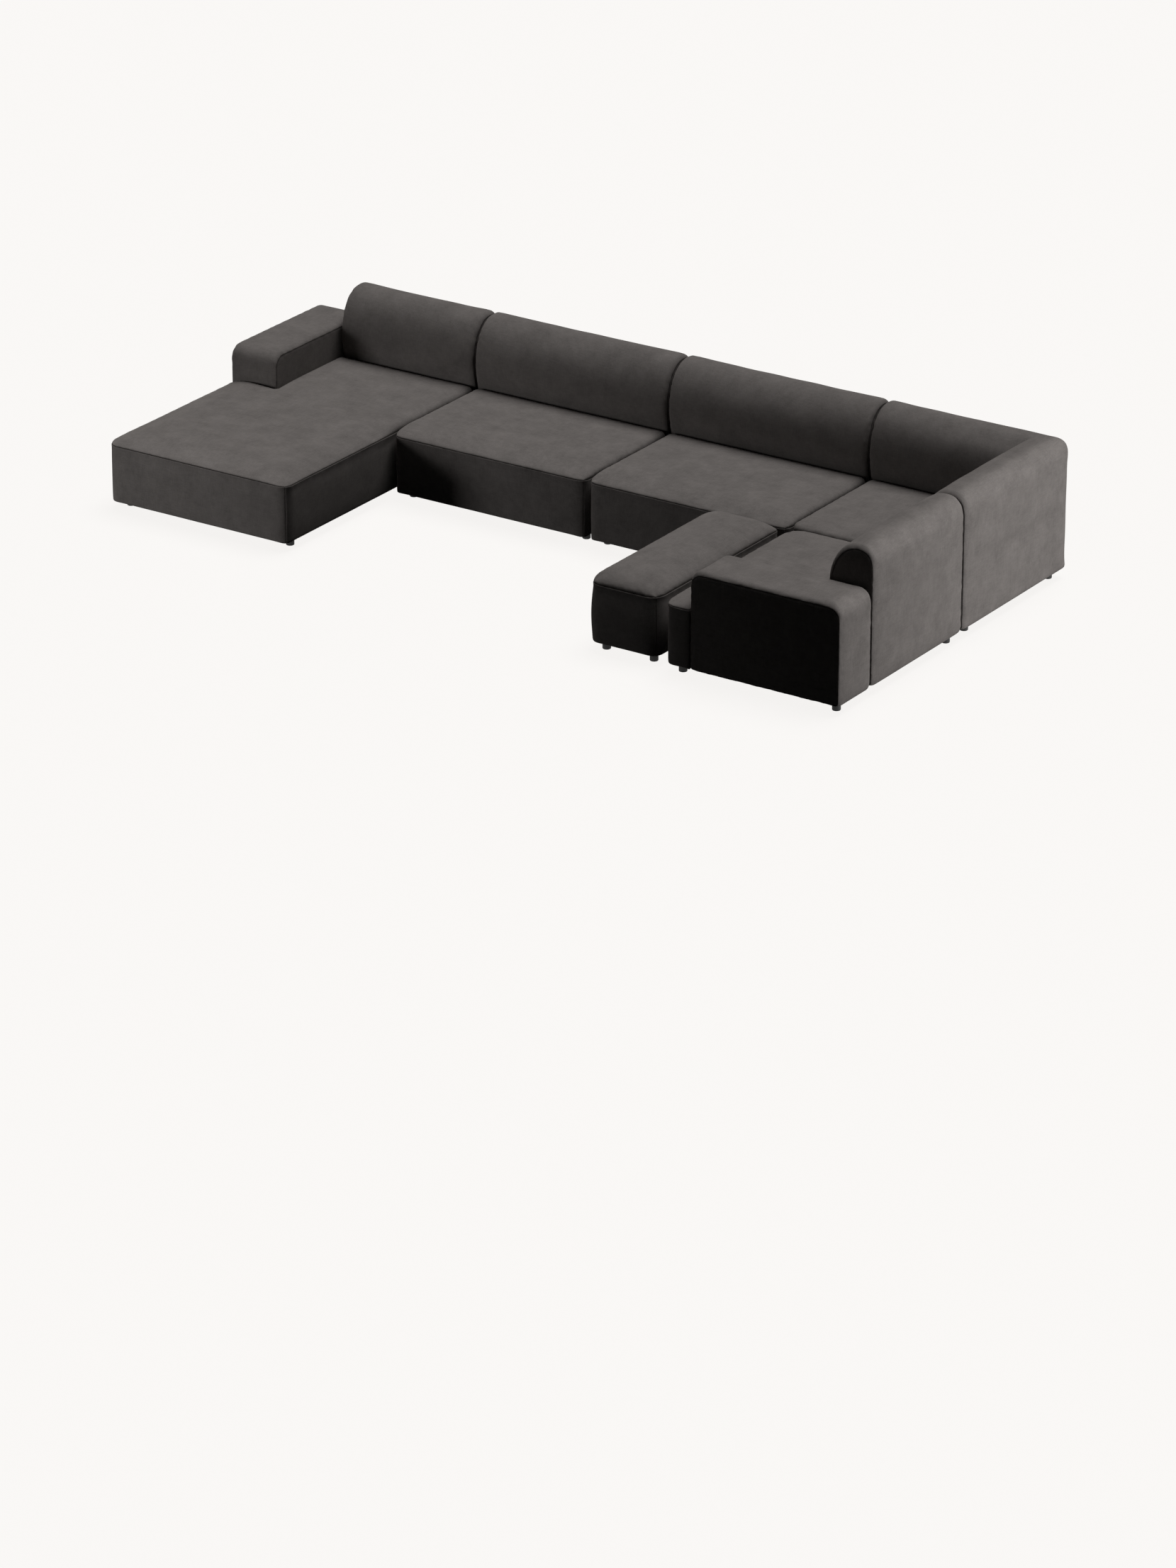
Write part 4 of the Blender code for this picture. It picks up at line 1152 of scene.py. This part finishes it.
def makeFloor():
    # the camera sees its pale colour, which a shadow darkens by the given share
    half = studio["floorSize"] / 2
    corners = [(-half, -half, 0), (half, -half, 0), (half, half, 0), (-half, half, 0)]
    floor = addPiece("floor", corners, [(0, 1, 2, 3)])
    material, tree = newMaterial("pale_studio_floor")
    seen = seenByCamera(tree)
    glow = addNode(tree, "ShaderNodeEmission", {"Color": hexColour(studio["pale"]), "Strength": 1.0})
    pale = addNode(tree, "ShaderNodeBsdfDiffuse", {"Color": hexColour(studio["pale"])})
    shown = addNode(tree, "ShaderNodeMixShader", {0: studio["floorShadow"]},
                    {1: glow.outputs[0], 2: pale.outputs[0]})
    bounce = addNode(tree, "ShaderNodeBsdfDiffuse", {"Color": [studio["floorBounce"]] * 3 + [1.0]})
    shader = addNode(tree, "ShaderNodeMixShader", {}, {0: seen, 1: bounce.outputs[0], 2: shown.outputs[0]})
    addNode(tree, "ShaderNodeOutputMaterial", links={"Surface": shader.outputs[0]})
    dress(floor, material)
    return floor


floor = makeFloor()

world = bpy.data.worlds.new("studio_world")
world.use_nodes = True
world.node_tree.nodes.clear()
sky = addNode(world.node_tree, "ShaderNodeMix",
              {"data_type": "RGBA", 6: [studio["worldBounce"]] * 3 + [1.0], 7: hexColour(studio["pale"])},
              {0: seenByCamera(world.node_tree)})
background = addNode(world.node_tree, "ShaderNodeBackground", {"Strength": 1.0}, {"Color": sky.outputs[2]})
addNode(world.node_tree, "ShaderNodeOutputWorld", links={"Surface": background.outputs[0]})
bpy.context.scene.world = world


def aimed(aim):
    # turn that points an object's -Z along aim, its X axis level
    return math.atan2(math.hypot(aim[0], aim[1]), -aim[2]), 0.0, math.atan2(-aim[0], aim[1])


def addLamp(name, kind, aim, settings):
    data = bpy.data.lights.new(name, kind)
    for key, value in settings.items():
        setattr(data, key, value)
    lamp = bpy.data.objects.new(name, data)
    bpy.context.collection.objects.link(lamp)
    lamp.rotation_euler = aimed(aim)
    return lamp


addLamp("top", "SUN", -np.array(studio["sunFrom"]),
        {"energy": studio["sunStrength"], "angle": math.radians(studio["sunAngle"])})
# the floor takes no light from the softboxes, which would leave bright patches on it
unlit = bpy.data.collections.new("unlit_by_softboxes")
unlit.objects.link(floor)
unlit.collection_objects[0].light_linking.link_state = "EXCLUDE"
for name, place, target, width, height, spread, power in studio["softboxes"]:
    lamp = addLamp(name, "AREA", np.array(target) - np.array(place),
                   {"shape": "RECTANGLE", "size": width, "size_y": height, "energy": power,
                    "spread": math.radians(spread)})
    lamp.location = place
    lamp.visible_camera = False
    lamp.light_linking.receiver_collection = unlit

cameraData = bpy.data.cameras.new("camera")
cameraData.lens, cameraData.sensor_width = studio["lens"], studio["sensor"]
cameraData.clip_end = studio["clipEnd"]
camera = bpy.data.objects.new("camera", cameraData)
bpy.context.collection.objects.link(camera)
camera.location = studio["camera"]
camera.rotation_euler = (math.radians(90 - studio["down"]), 0.0, math.radians(studio["heading"]))
bpy.context.scene.camera = camera
bpy.context.scene.view_settings.view_transform = "Standard"
print("studio set up")
